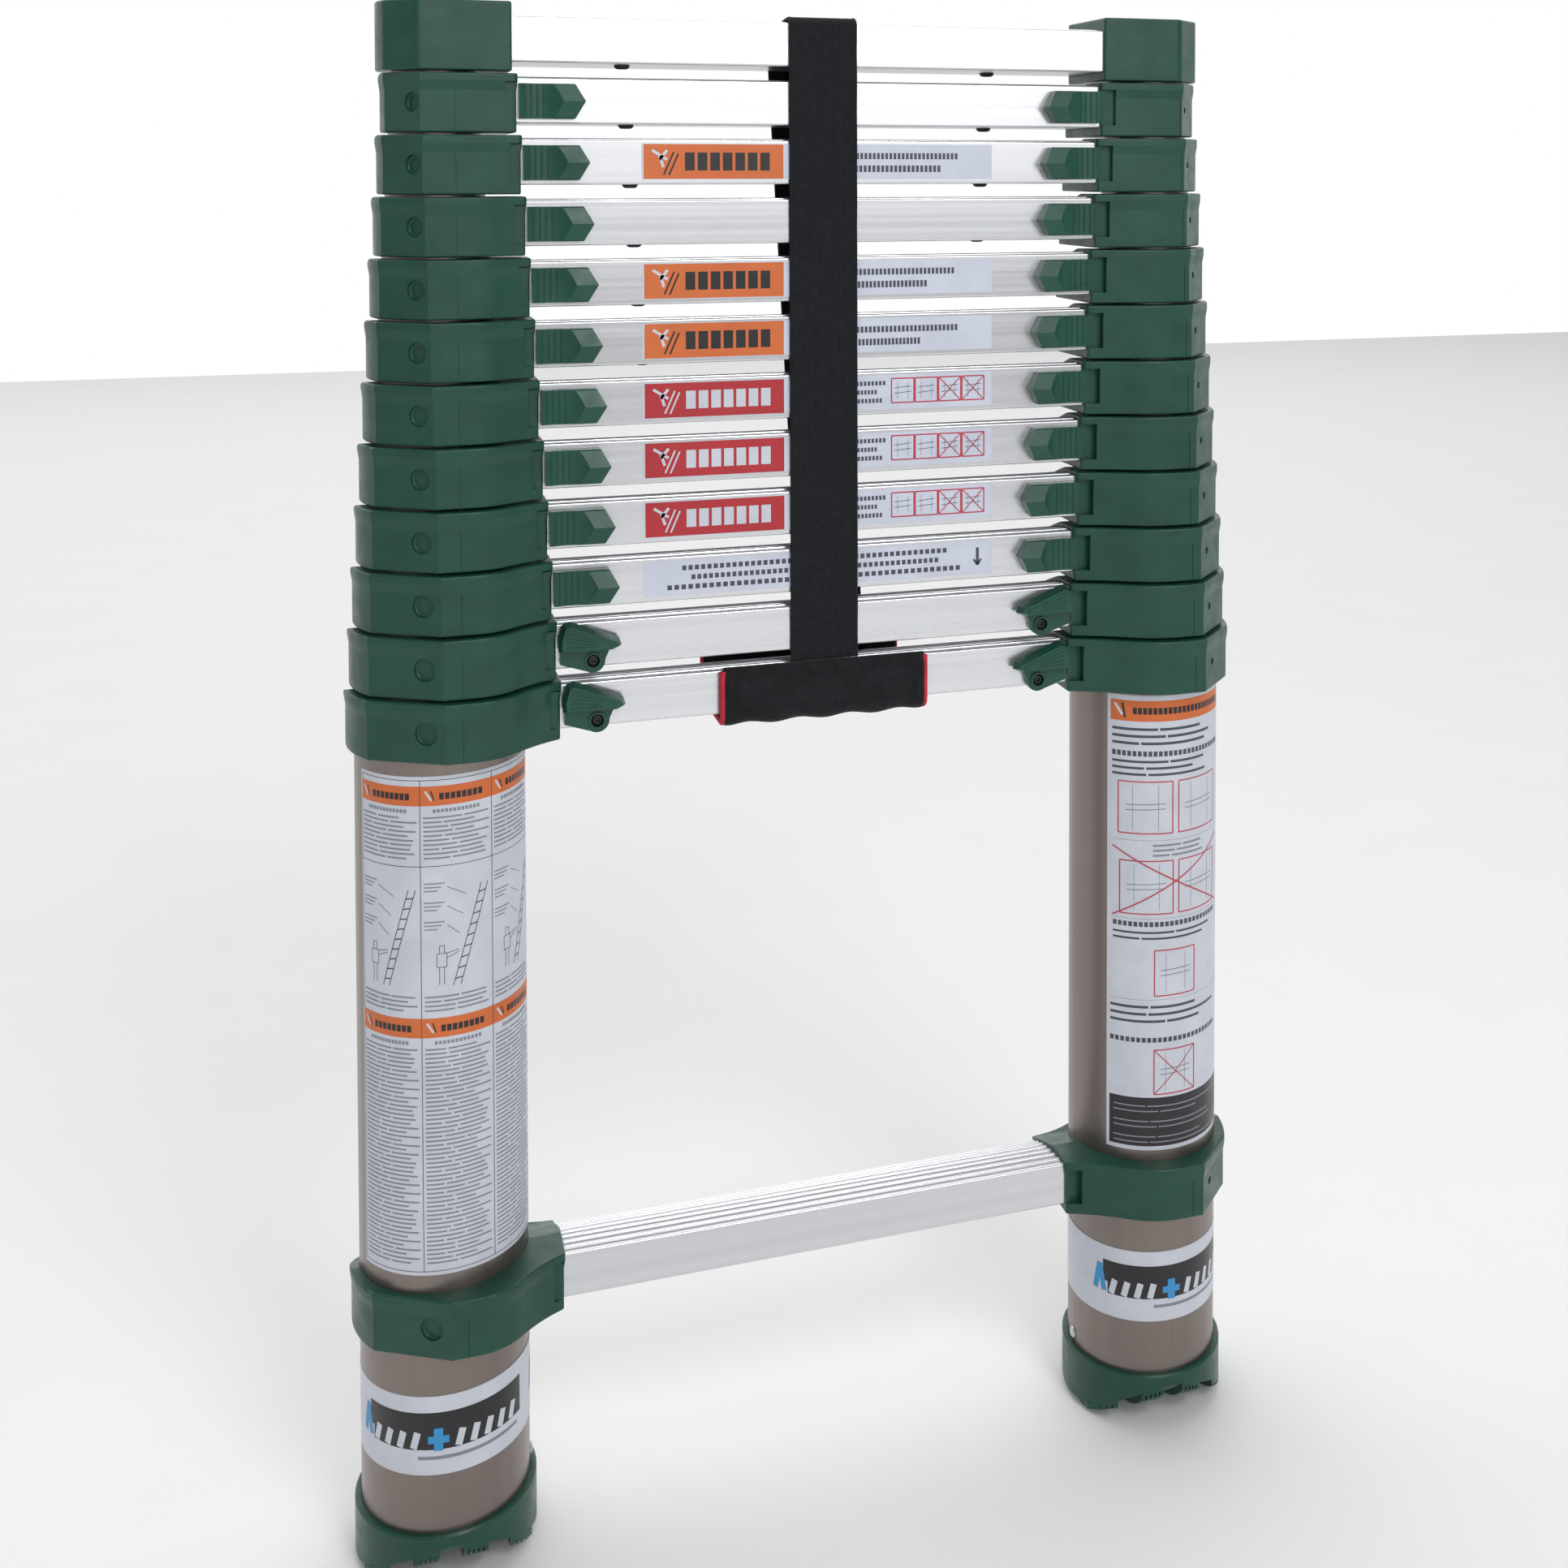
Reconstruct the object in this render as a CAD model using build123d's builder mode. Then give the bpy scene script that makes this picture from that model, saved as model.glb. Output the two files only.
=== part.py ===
from build123d import *
from math import acos, asin, atan2, cos, hypot, pi, sin, sqrt, tan
import os

# Telescoping ladder, closed, standing on its feet.  Millimetres, +Z up, rungs along X,
# the climbing side towards -Y.  Origin: on the floor, midway between the two stiles.

# ---- driving dimensions ----
rung_count = 13              # the two lowest rungs are fixed to the outer stiles
rung_spacing = 304.8         # from rung to rung when the ladder is extended
stack_pitch = 31.75          # from rung to rung when it is closed
first_rung_height = 131.0    # floor to the underside of rung 1
stile_offset = 202.5         # centre plane to each stile axis

outer_radius = 43.5          # outer stile tube
radius_step = 2.0            # each tube is this much smaller in radius than the one around it
tube_wall = 1.5
tube_length = 410.0          # every sliding tube
tube_top = 22.0              # top of a tube above the underside of its rung
tube_seat = 22.0             # bottom of the outer tubes above the floor

rung_depth = 51.0
rung_front_height = 23.7
rung_rear_height = 11.4
rung_wall = 1.8
rung_corner = 1.0
rung_tongue = 9.0            # how far a rung goes into each collar
slot_play = 1.0              # slots in the sliding rungs, around the stems of the buttons
ridge_count = 7
ridge_pitch = 6.4
ridge_radius = 0.9

collar_drop = 4.9            # collar below the underside of its rung
collar_height = 30.6
collar_reach = 16.0          # end of the neck beyond the tube
neck_border = 2.4            # neck around the rung
neck_round = 1.5
flank_bend = (0.48, 0.36)    # where a flank turns from bulging to hollow
slope_start = -8.0           # the collar's top falls towards the rear from here
slope_turn = (14.0, 7.6)     # further back, and how far it has fallen
slope_end = (27.9, 13.0)
# (at the smallest collar, growth per millimetre of tube radius)
front_wall = (6.5, 0.175)
side_wall = (3.9, 0.01)
facet_end_wall = (4.3, 0.08)
rear_shoulder = (1.0, 1.35)
dimple_step = (5.6, 0.27)    # from crease to dimple
dimple_share = 0.8           # of the facet's wall, for its depth
recess_depth = (0.3, -0.05)  # in the front of the left neck; on the larger collars it fades out
left_crease = (8.5, -0.45)   # outwards from the stile axis
left_facet_wall = (3.0, 0.0)
left_shoulder = (12.0, 0.15)
left_dimple = (5.0, 0.05)
right_crease = (10.0, 0.265)
right_facet_wall = (3.7, 0.07)
right_shoulder = (3.0, -0.25)
right_dimple = (1.8, 0.02)
seam_offset = 8.8
seam_width = 0.3
recess_width = 5.4           # in the front of the neck, open to the rung
recess_height = 20.2
recess_base = 1.3            # above the underside of the rung
recess_cut = 0.7             # depth in the right neck, with a deeper groove at its end
groove_width = 3.2
groove_cut = 1.7
slit_height = 0.9            # along the top of the left neck
slit_cut = 1.4
collar_lip = 0.8
lip_ledge = 0.02             # step that the lip starts with
lip_height = 4.0
flare_height = 5.0
cap_height = 35.9
cap_wall = 7.0
cap_side_wall = 8.0
cap_facet_wall = 6.3
cap_crease = 9.7
cap_shoulder = 17.7
cap_corner = 6.0             # rounding of the upright corners
cap_round = 1.4
fit_gap = 0.15               # a piece in its own socket
edge_round = 1.0

glide_plug = 14.0            # up inside the tube
glide_rim = 4.0              # below the tube
glide_ring = 2.4             # from the inside of the tube to the inside of the ring
glide_play = 0.1             # in the tube around it

pin_radius = 4.0
pin_height = 11.5            # pin axis above the underside of the rung
pin_clearance = 0.35
button_travel = 8.0
button_length = 33.5
button_point = 5.0           # length of the arrow point
button_height = 18.0
button_start = 1.0           # gap between collar and button
button_edge = 6.0            # stands this proud of the rung at its long edges
button_ridge = 9.6           # and this proud on its middle ridge
button_bevel = 0.6
scoop_radius = 19.0          # hollow for the thumb
scoop_middle = 9.0           # from the collar end of the button
scoop_floor = 4.2            # left standing under its deepest line
grip_ridges = 4
grip_start = 3.0
grip_pitch = 3.2
grip_radius = 0.45
slide_gap = 0.35             # sliding parts off the rung's face
stem_width = 6.0
stem_start = 12.0            # stem from the collar end of the button

lever_pivot = 19.0           # pivot from the end of the rung
lever_pivot_height = 4.2
lever_plate = 4.0            # thickness of the plate
lever_rise = 9.8             # and of plate and wedge together
lever_draft = 14             # slope of the wedge's sides, in degrees
lever_eye = 6.4
lever_boss = 4.4
lever_boss_rise = 1.2
lever_bore = 3.4
lever_bore_depth = 2.0       # into the plate
lever_ribs = 5
lever_rib_radius = 0.45
# corners of plate and wedge, and ends of the lowest and highest rib, across and up from the pivot
plate_corners = ((8, 4), (9.5, 7), (-17, 12), (-17, -1), (-3, -5.6), (4, -5))
wedge_corners = ((9.5, 5), (15, 7.4), (13.5, 11.6), (-12, 21.5), (-15.8, 20.5), (-18.2, 12), (-17.8, 5.6))
rib_starts = ((9, 7.6), (9, 9.2))
rib_ends = ((-13.5, 8.6), (-13.5, 18.2))

foot_radius = 46.9
foot_rim = 31.5
rocker_radius = 62.0
tread_depth = 3.6
tread_width = 12.6
tread_pitch = 24.2
tread_flat = 0.5             # depth of the flat worn across the bottom of the rocker
rib_pitch = 2.5
rib_groove = 0.9

strap_width = 38.0
strap_thickness = 2.0
strap_gap = 0.5
strap_slack = 2.0            # off the rear edge of the top rung
strap_fold = 4.0             # straight part below the bend at the back
strap_slant = 18.0           # sideways drift of the back leg over its height

handle_length = 113.0
handle_wall = 5.5
handle_round = 2.5
handle_drop = 7.0            # below the underside of rung 2
handle_rise = 25.4           # above the underside of rung 2
handle_back_drop = 1.6       # its rear wall, below the front one

half_depth = rung_depth / 2
neck_half = half_depth + neck_border
section_travel = rung_spacing - stack_pitch
rung_arc = (rung_depth**2 + (rung_front_height - rung_rear_height)**2) / (
    2 * (rung_front_height - rung_rear_height))
slide_button_rungs = range(4, rung_count)
lever_rungs = (2, 3)

os.makedirs("parts", exist_ok=True)


def rung_height(k):
    """Underside of rung k above the floor, ladder closed."""
    if k == 1:
        return first_rung_height
    return first_rung_height + rung_spacing + (k - 2) * stack_pitch


def tube_radius(k):
    """Outer radius of the tube that carries rung k; rungs 1 and 2 share the outer tube."""
    return outer_radius - radius_step * max(k - 2, 0)


def rung_half_length(k):
    """Visible half length of rung k, up to its collars."""
    return stile_offset - tube_radius(k) - collar_reach


def tread_height(y):
    """Top of a rung above its underside: level at the front edge, curving down to the rear."""
    return rung_front_height - rung_arc + sqrt(rung_arc**2 - (y + half_depth)**2)


def save(piece, name):
    piece.part.label = name
    export_step(piece.part, f"parts/{name}.step")


# ---- extruded aluminium ----
def rung_outline(height, grow):
    """Outline of a rung seen along X, grown on all sides, for a sketch parallel to YZ."""
    with BuildSketch() as outline:
        with BuildLine():
            bottom = Line((half_depth, height), (-half_depth, height))
            front = Line(bottom @ 1, (-half_depth, height + rung_front_height))
            RadiusArc(front @ 1, (half_depth, height + rung_rear_height), rung_arc)
            Line((half_depth, height + rung_rear_height), bottom @ 0)
        make_face()
        fillet(outline.vertices(), rung_corner)
        if grow > 0:
            offset(amount=grow, mode=Mode.REPLACE)
    return outline.sketch_local


def rung(k, slots):
    """Hollow rung with its tread ridges, and a slot in front behind each sliding button."""
    height = rung_height(k)
    visible = rung_half_length(k)
    outline = rung_outline(height, 0)
    rear_ridge = (ridge_count - 1) / 2 * ridge_pitch
    with BuildPart() as extrusion:
        with BuildSketch(Plane.YZ.offset(-visible - rung_tongue)):
            add(outline)
            offset(amount=-rung_wall, mode=Mode.SUBTRACT)
        extrude(amount=2 * (visible + rung_tongue))
        with BuildSketch(Plane.YZ.offset(-visible + 2 * collar_lip)):
            for i in range(ridge_count):
                y = i * ridge_pitch - rear_ridge
                with Locations((y, height + tread_height(y))):
                    Circle(ridge_radius)
        extrude(amount=2 * visible - 4 * collar_lip)
        if slots:
            slot_length = stem_width + button_travel + 2 * slot_play
            middle = visible - stem_start - button_start - (stem_width + button_travel) / 2
            with BuildSketch(Plane.XZ.offset(half_depth - 2 * rung_wall)):
                with Locations((-middle, height + pin_height), (middle, height + pin_height)):
                    Rectangle(slot_length, stem_width + slot_play)
            extrude(amount=3 * rung_wall, mode=Mode.SUBTRACT)
    return extrusion


def stile_pair(radius, bottom, top, pin_holes):
    """Two equal tubes with round pin holes in their facing sides."""
    with BuildPart() as tubes:
        with BuildSketch(Plane(origin=(-stile_offset, 0, bottom))):
            Circle(radius)
            Circle(radius - tube_wall, mode=Mode.SUBTRACT)
        extrude(amount=top - bottom)
        if pin_holes:
            with BuildSketch(Plane.YZ.offset(-stile_offset)):
                with Locations([(0, z) for z in pin_holes]):
                    Circle(pin_radius + pin_clearance)
            extrude(amount=2 * radius, mode=Mode.SUBTRACT)
        mirror(about=Plane.YZ)
    return tubes


# ---- moulded collars ----
def facet_end(across, front, distance, end):
    """End of a straight facet that starts in a corner and passes the axis at a distance."""
    turn = atan2(across, front) + acos(distance / hypot(across, front)) + acos(distance / end)
    return end * sin(turn), end * cos(turn)


def collar_shape(k, crease, facet_wall, shoulder, dimple_size, seam):
    """Sizes of a collar of rung k about its stile axis, by name."""
    radius = tube_radius(k)
    growth = radius - tube_radius(rung_count - 1)

    def grown(size):
        return size[0] + size[1] * growth

    return {"front": radius + grown(front_wall), "side": radius + grown(side_wall),
            "facet": radius + grown(facet_wall), "facet_end": radius + grown(facet_end_wall),
            "crease": grown(crease), "shoulder": grown(shoulder), "rear": grown(rear_shoulder),
            "reach": radius + collar_reach, "dimple": grown(dimple_size),
            "dimple_step": grown(dimple_step), "facet_wall": grown(facet_wall),
            "recess": grown(recess_depth), "seam": seam}


def left_shape(k):
    return collar_shape(k, left_crease, left_facet_wall, left_shoulder, left_dimple, seam_offset)


def right_shape(k):
    return collar_shape(k, right_crease, right_facet_wall, right_shoulder, right_dimple, -seam_offset)


def flank(start, end):
    """S-shaped flank that leaves the front along X and ends at the corner of the neck."""
    bend = (start[0] + flank_bend[0] * (end[0] - start[0]), start[1] + flank_bend[1] * (end[1] - start[1]))
    bulge = TangentArc(start, bend, tangent=(1, 0))
    TangentArc(bend, end, tangent=bulge % 1)


def collar_outline(plane, shape, grow):
    """Plan of a left-hand collar: flat front, one facet, round back, narrowing to the neck."""
    front = shape["front"]
    side = shape["side"]
    reach = shape["reach"]
    facet_x, facet_y = facet_end(shape["crease"], front, shape["facet"], shape["facet_end"])
    rear = asin(shape["rear"] / side)
    middle = (rear - pi / 2) / 2
    rear_point = (side * sin(rear), side * cos(rear))
    with BuildSketch(plane) as outline:
        with BuildLine():
            flank((shape["shoulder"], -front), (reach, -neck_half))
            Polyline((shape["shoulder"], -front), (-shape["crease"], -front), (-facet_x, -facet_y))
            TangentArc((-side, 0), (-facet_x, -facet_y), tangent=(0, -1))
            ThreePointArc((-side, 0), (side * sin(middle), side * cos(middle)), rear_point)
            TangentArc(rear_point, (reach, neck_half), tangent=(cos(rear), -sin(rear)))
            Line((reach, neck_half), (reach, -neck_half))
        make_face()
        fillet(outline.vertices().group_by(Axis.X)[-1], neck_round)
        if grow > 0:
            offset(amount=grow, mode=Mode.REPLACE)
    return outline.sketch


def face_axis(turn):
    """Direction in which a facet faces, turned from the front towards the outside."""
    return Axis((0, 0, 0), (-sin(turn), -cos(turn), 0))


def dimple(shape, height):
    """Round blind hole that is cut into the facet of a left-hand collar."""
    facet = shape["facet"]
    across = atan2(shape["crease"], shape["front"])
    turn = across + acos(facet / hypot(shape["crease"], shape["front"]))
    along = facet * tan(turn - across) - shape["dimple_step"]
    depth = min(shape["facet_wall"], shape["dimple"]) * dimple_share
    centre = (facet * sin(turn) - along * cos(turn), facet * cos(turn) + along * sin(turn))
    face = Plane(origin=(-stile_offset - centre[0], -centre[1], height), z_dir=(-sin(turn), -cos(turn), 0))
    with BuildPart() as hole:
        with BuildSketch(face.offset(-depth)):
            Circle(shape["dimple"])
        extrude(amount=2 * depth)
        fillet(hole.faces().sort_by(face_axis(turn))[0].edges(), depth / 2)
    return hole


def rear_slope(k):
    """What is cut off a collar above its top, which falls with the tread towards the rear."""
    top = rung_height(k) - collar_drop + collar_height
    with BuildPart() as above:
        with BuildSketch(Plane.YZ.offset(-stile_offset - foot_radius - collar_reach)):
            with BuildLine():
                Polyline((slope_start, top), (slope_turn[0], top - slope_turn[1]),
                         (slope_end[0], top - slope_end[1]), (2 * outer_radius, top - slope_end[1]),
                         (2 * outer_radius, top + collar_lip), (slope_start, top + collar_lip), close=True)
            make_face()
        extrude(amount=stile_offset)
    return above


def collar_body(k, shape):
    """Outside of a left-hand collar of rung k, flared to a lip along its top."""
    base = Plane(origin=(-stile_offset, 0, rung_height(k) - collar_drop))
    band = base.offset(collar_height - lip_height - flare_height)
    cup = dimple(shape, rung_height(k) - collar_drop + collar_height / 2).part
    slope = rear_slope(k).part
    with BuildPart() as lip:
        extrude(collar_outline(band, shape, collar_lip), amount=lip_height + flare_height)
        underside = lip.faces().sort_by(Axis.Z)[0]
        chamfer(underside.edges(), length=collar_lip - lip_ledge, length2=flare_height, reference=underside)
        fillet(lip.faces().sort_by(Axis.Z)[-1].edges(), edge_round)
    with BuildPart() as body:
        extrude(collar_outline(base, shape, 0), amount=collar_height - edge_round)
        fillet(body.faces().sort_by(Axis.Z)[0].edges(), edge_round)
        add(lip.part)
        with BuildSketch(base):
            with Locations((shape["seam"], -shape["front"])):
                Rectangle(seam_width, 3 * seam_width)
        extrude(amount=collar_height - lip_height - flare_height, mode=Mode.SUBTRACT)
        add([cup, slope], mode=Mode.SUBTRACT)
    return body


def neck_cut(depth, left, bottom, width, height):
    """Box cut from a depth behind the neck's front outwards, given its lower left corner."""
    with BuildPart() as cut:
        with BuildSketch(Plane.XZ.offset(neck_half - depth)):
            with Locations((left + width / 2, bottom + height / 2)):
                Rectangle(width, height)
        extrude(amount=outer_radius)
    return cut.part


def neck_recess(k, shape, grooved):
    """Recess in the front of a left-hand neck, with a groove at its end or a slit along its top."""
    start = -rung_half_length(k) - recess_width
    base = rung_height(k) + recess_base
    if grooved:
        return [neck_cut(recess_cut, start, base, 2 * recess_width, recess_height),
                neck_cut(groove_cut, start - groove_width, base, 2 * groove_width, recess_height)]
    slit_base = base + recess_height - slit_height
    return [neck_cut(shape["recess"], start, base, 2 * recess_width, recess_height),
            neck_cut(slit_cut, start, slit_base, 2 * recess_width, slit_height)]


def collar_cuts(k, pinned):
    """Left tube seat and bore, rung socket and pin hole."""
    radius = tube_radius(k)
    height = rung_height(k)
    end = -rung_half_length(k)
    seat_depth = collar_height if k == 1 else collar_drop + tube_top + fit_gap
    socket = rung_outline(height, fit_gap)
    with BuildPart() as cuts:
        with BuildSketch(Plane(origin=(-stile_offset, 0, height - collar_drop))):
            Circle(radius + fit_gap)
        extrude(amount=seat_depth)
        with BuildSketch(Plane(origin=(-stile_offset, 0, height))):
            Circle(radius - tube_wall)
        extrude(amount=collar_height)
        with BuildSketch(Plane.YZ.offset(end - rung_tongue - fit_gap)):
            add(socket)
        extrude(amount=2 * rung_tongue)
        if pinned:
            with BuildSketch(Plane.YZ.offset(-stile_offset)):
                with Locations((0, height + pin_height)):
                    Circle(pin_radius + pin_clearance)
            extrude(amount=stile_offset + end)
    return cuts


def collars(k, pinned):
    """Both collars of rung k; the right one is made left-handed and then mirrored."""
    cuts = collar_cuts(k, pinned).part
    halves = []
    for shape, grooved in ((left_shape(k), False), (right_shape(k), True)):
        recess = neck_recess(k, shape, grooved)
        body = collar_body(k, shape).part
        with BuildPart() as collar:
            add(body)
            add([cuts, *recess], mode=Mode.SUBTRACT)
        halves.append(collar.part)
    with BuildPart() as pair:
        add(halves[1])
        mirror(about=Plane.YZ, mode=Mode.REPLACE)
        add(halves[0])
    return pair


def glides(k):
    """Plastic rings in the bottoms of the sliding tubes, running in the tubes around them."""
    radius = tube_radius(k)
    inside = radius - tube_wall
    bottom = rung_height(k) + tube_top - tube_length
    with BuildPart() as ring:
        with BuildSketch(Plane(origin=(-stile_offset, 0, bottom))):
            Circle(inside - fit_gap / 2)
            Circle(inside - glide_ring, mode=Mode.SUBTRACT)
        extrude(amount=glide_plug)
        with BuildSketch(Plane(origin=(-stile_offset, 0, bottom))):
            Circle(inside + radius_step - glide_play)
            Circle(inside - glide_ring, mode=Mode.SUBTRACT)
        extrude(amount=-glide_rim)
        mirror(about=Plane.YZ)
    return ring


def cap_outline(plane):
    """Plan of the left cap, the same in front as behind."""
    radius = tube_radius(rung_count)
    front = radius + cap_wall
    side = radius + cap_side_wall
    facet_x, facet_y = facet_end(cap_crease, front, radius + cap_facet_wall, side)
    with BuildSketch(plane) as outline:
        with BuildLine():
            Polyline((-facet_x, -facet_y), (-cap_crease, -front), (cap_shoulder, -front),
                     (radius + collar_reach, -neck_half), (radius + collar_reach, neck_half),
                     (cap_shoulder, front), (-cap_crease, front), (-facet_x, facet_y))
            ThreePointArc((-facet_x, -facet_y), (-side, 0), (-facet_x, facet_y))
        make_face()
        corners = outline.vertices().group_by(Axis.X)
        fillet([*corners[0], *corners[1]], cap_corner)
        fillet(outline.vertices().group_by(Axis.X)[-1], neck_round)
    return outline.sketch


def top_caps():
    """Closed caps over the smallest tubes, holding the top rung."""
    k = rung_count
    radius = tube_radius(k)
    height = rung_height(k)
    plane = Plane(origin=(-stile_offset, 0, height - collar_drop))
    outline = cap_outline(plane)
    socket = rung_outline(height, fit_gap)
    with BuildPart() as caps:
        extrude(outline, amount=cap_height)
        top_face = caps.faces().sort_by(Axis.Z)[-1]
        bottom_face = caps.faces().sort_by(Axis.Z)[0]
        fillet(top_face.edges(), cap_round)
        fillet(bottom_face.edges(), edge_round)
        with BuildSketch(plane):
            Circle(radius + fit_gap)
        extrude(amount=collar_drop + tube_top + fit_gap, mode=Mode.SUBTRACT)
        with BuildSketch(Plane.YZ.offset(-rung_half_length(k) - rung_tongue - fit_gap)):
            add(socket)
        extrude(amount=2 * rung_tongue, mode=Mode.SUBTRACT)
        mirror(about=Plane.YZ)
    return caps


# ---- releases ----
def slide_button(k):
    """Left thumb button of rung k with the locking pin that it draws out of the next tube."""
    z = rung_height(k) + pin_height
    start = -rung_half_length(k) + button_start
    face = half_depth + slide_gap
    half = button_height / 2
    with BuildPart() as button:
        with BuildSketch(Plane.YZ.offset(start)):
            with BuildLine():
                Polyline((-face, z - half), (-face - button_edge, z - half), (-face - button_ridge, z),
                         (-face - button_edge, z + half), (-face, z + half), close=True)
            make_face()
        extrude(amount=button_length)
        with BuildSketch(Plane.XZ.offset(half_depth)):
            with BuildLine():
                shoulder = start + button_length - button_point
                Polyline((start, z - half), (shoulder, z - half), (start + button_length, z),
                         (shoulder, z + half), (start, z + half), close=True)
            make_face()
        extrude(amount=2 * button_ridge, mode=Mode.INTERSECT)
        chamfer(button.edges().filter_by(Axis.X).group_by(Axis.Y)[1:], button_bevel)
        with BuildSketch(Plane.XY.offset(z - half)):
            with Locations((start + scoop_middle, -face - scoop_radius - scoop_floor)):
                Circle(scoop_radius)
        extrude(amount=button_height, mode=Mode.SUBTRACT)
        with BuildSketch(Plane.XY.offset(z - half + button_bevel)):
            for i in range(grip_ridges):
                across = grip_start + grip_pitch * i
                depth = sqrt(scoop_radius**2 - (across - scoop_middle)**2)
                with Locations((start + across, -face - scoop_radius - scoop_floor + depth)):
                    Circle(grip_radius)
        extrude(amount=button_height - 2 * button_bevel)
        stem = start + stem_start + stem_width / 2
        with BuildSketch(Plane.XZ.offset(-pin_radius / 2)):
            with Locations((stem, z)):
                Rectangle(stem_width, stem_width)
        extrude(amount=face + pin_radius / 2 + edge_round)
        pin_tip = -stile_offset + tube_radius(k) - tube_wall
        with BuildSketch(Plane.YZ.offset(pin_tip)):
            with Locations((0, z)):
                Circle(pin_radius)
        extrude(amount=stem - pin_tip)
    return button


def around_pivot(pivot, corners):
    """Points given across and up from the pivot of a lever."""
    return [(pivot[0] + across, pivot[1] + up) for across, up in corners]


def between(ends, part):
    """Point between two ends."""
    return (ends[0][0] + part * (ends[1][0] - ends[0][0]), ends[0][1] + part * (ends[1][1] - ends[0][1]))


def flip_lever(k):
    """Left flip lever of rung k: a plate on its pivot with a raised fan-shaped thumb wedge."""
    pivot = (-rung_half_length(k) + lever_pivot, rung_height(k) + lever_pivot_height)
    face = half_depth + slide_gap
    wedge_base = lever_plate - edge_round / 2
    with BuildPart() as lever:
        with BuildSketch(Plane.XZ.offset(face)):
            with Locations(pivot):
                Circle(lever_eye)
            with BuildLine():
                Polyline(*around_pivot(pivot, plate_corners), close=True)
            make_face()
        extrude(amount=lever_plate)
        with BuildSketch(Plane.XZ.offset(face + wedge_base)):
            with BuildLine():
                Polyline(*around_pivot(pivot, wedge_corners), close=True)
            make_face()
        extrude(amount=lever_rise - wedge_base, taper=lever_draft)
        for i in range(lever_ribs):
            part = i / (lever_ribs - 1)
            with BuildSketch(Plane.XZ.offset(face + lever_rise - lever_rib_radius)):
                with BuildLine():
                    Line(*around_pivot(pivot, (between(rib_starts, part), between(rib_ends, part))))
                    offset(amount=lever_rib_radius)
                make_face()
            extrude(amount=2 * lever_rib_radius)
        with BuildSketch(Plane.XZ.offset(face + lever_plate)):
            with Locations(pivot):
                Circle(lever_boss)
        extrude(amount=lever_boss_rise)
        with BuildSketch(Plane.XZ.offset(face + lever_plate - lever_bore_depth)):
            with Locations(pivot):
                Circle(lever_bore)
        extrude(amount=lever_rise, mode=Mode.SUBTRACT)
    return lever


# ---- lower collars and feet ----
def tread_strips():
    """Four ribbed strips under the left foot that follow the rocker, flat across its lowest part."""
    with BuildPart() as treads:
        for i in range(4):
            x = -stile_offset + (i - 1.5) * tread_pitch
            with BuildSketch(Plane.YZ.offset(x - tread_width / 2)):
                with Locations((0, rocker_radius - tread_flat)):
                    Circle(rocker_radius)
                    Circle(rocker_radius - tread_depth, mode=Mode.SUBTRACT)
                with Locations((0, foot_rim / 2)):
                    Rectangle(2 * foot_radius, foot_rim, mode=Mode.INTERSECT)
            extrude(amount=tread_width)
            for groove in range(4):
                across = x + (groove - 1.5) * rib_pitch
                with BuildSketch(Plane.YZ.offset(across - rib_groove / 2)):
                    with Locations((0, rocker_radius - tread_flat)):
                        Circle(rocker_radius)
                        Circle(rocker_radius - tread_flat - rib_groove, mode=Mode.SUBTRACT)
                extrude(amount=rib_groove, mode=Mode.SUBTRACT)
        with BuildSketch(Plane(origin=(-stile_offset, 0, 0))):
            Circle(foot_radius)
        extrude(amount=foot_rim, mode=Mode.INTERSECT)
    return treads


def feet():
    """Rocking cups on the outer tubes, with ribbed tread strips below."""
    bottom = Plane(origin=(-stile_offset, 0, 0))
    sagitta = rocker_radius - sqrt(rocker_radius**2 - foot_radius**2)
    treads = tread_strips().part
    with BuildPart() as cups:
        with BuildSketch(bottom):
            Circle(foot_radius)
        extrude(amount=foot_rim)
        chamfer(cups.faces().sort_by(Axis.Z)[-1].edges(), edge_round)
        with BuildSketch(bottom.offset(tube_seat)):
            Circle(outer_radius + fit_gap)
        extrude(amount=foot_rim, mode=Mode.SUBTRACT)
        with BuildSketch(Plane.YZ.offset(-stile_offset - foot_radius)):
            with Locations((0, tread_depth + rocker_radius)):
                Circle(rocker_radius)
            with Locations((0, foot_rim)):
                Rectangle(2 * foot_radius, 2 * (foot_rim - tread_depth - sagitta))
        extrude(amount=2 * foot_radius, mode=Mode.INTERSECT)
        add(treads)
        mirror(about=Plane.YZ)
    return cups


# ---- carrying strap and handle ----
def carry_handle():
    """Padded sleeve under rung 2, open along its top."""
    height = rung_height(2)
    inner = half_depth + strap_gap
    with BuildPart() as sleeve:
        with BuildSketch(Plane.YZ.offset(-handle_length / 2)):
            with Locations((0, height + (handle_rise - handle_drop) / 2)):
                RectangleRounded(2 * (inner + handle_wall), handle_rise + handle_drop, handle_round)
            with Locations((0, height + handle_rise / 2 - strap_gap / 2)):
                Rectangle(2 * inner, handle_rise + strap_gap, mode=Mode.SUBTRACT)
            with Locations((half_depth + handle_wall, height + handle_rise - handle_back_drop / 2)):
                Rectangle(4 * handle_wall, handle_back_drop, mode=Mode.SUBTRACT)
        extrude(amount=handle_length)
    return sleeve


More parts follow.
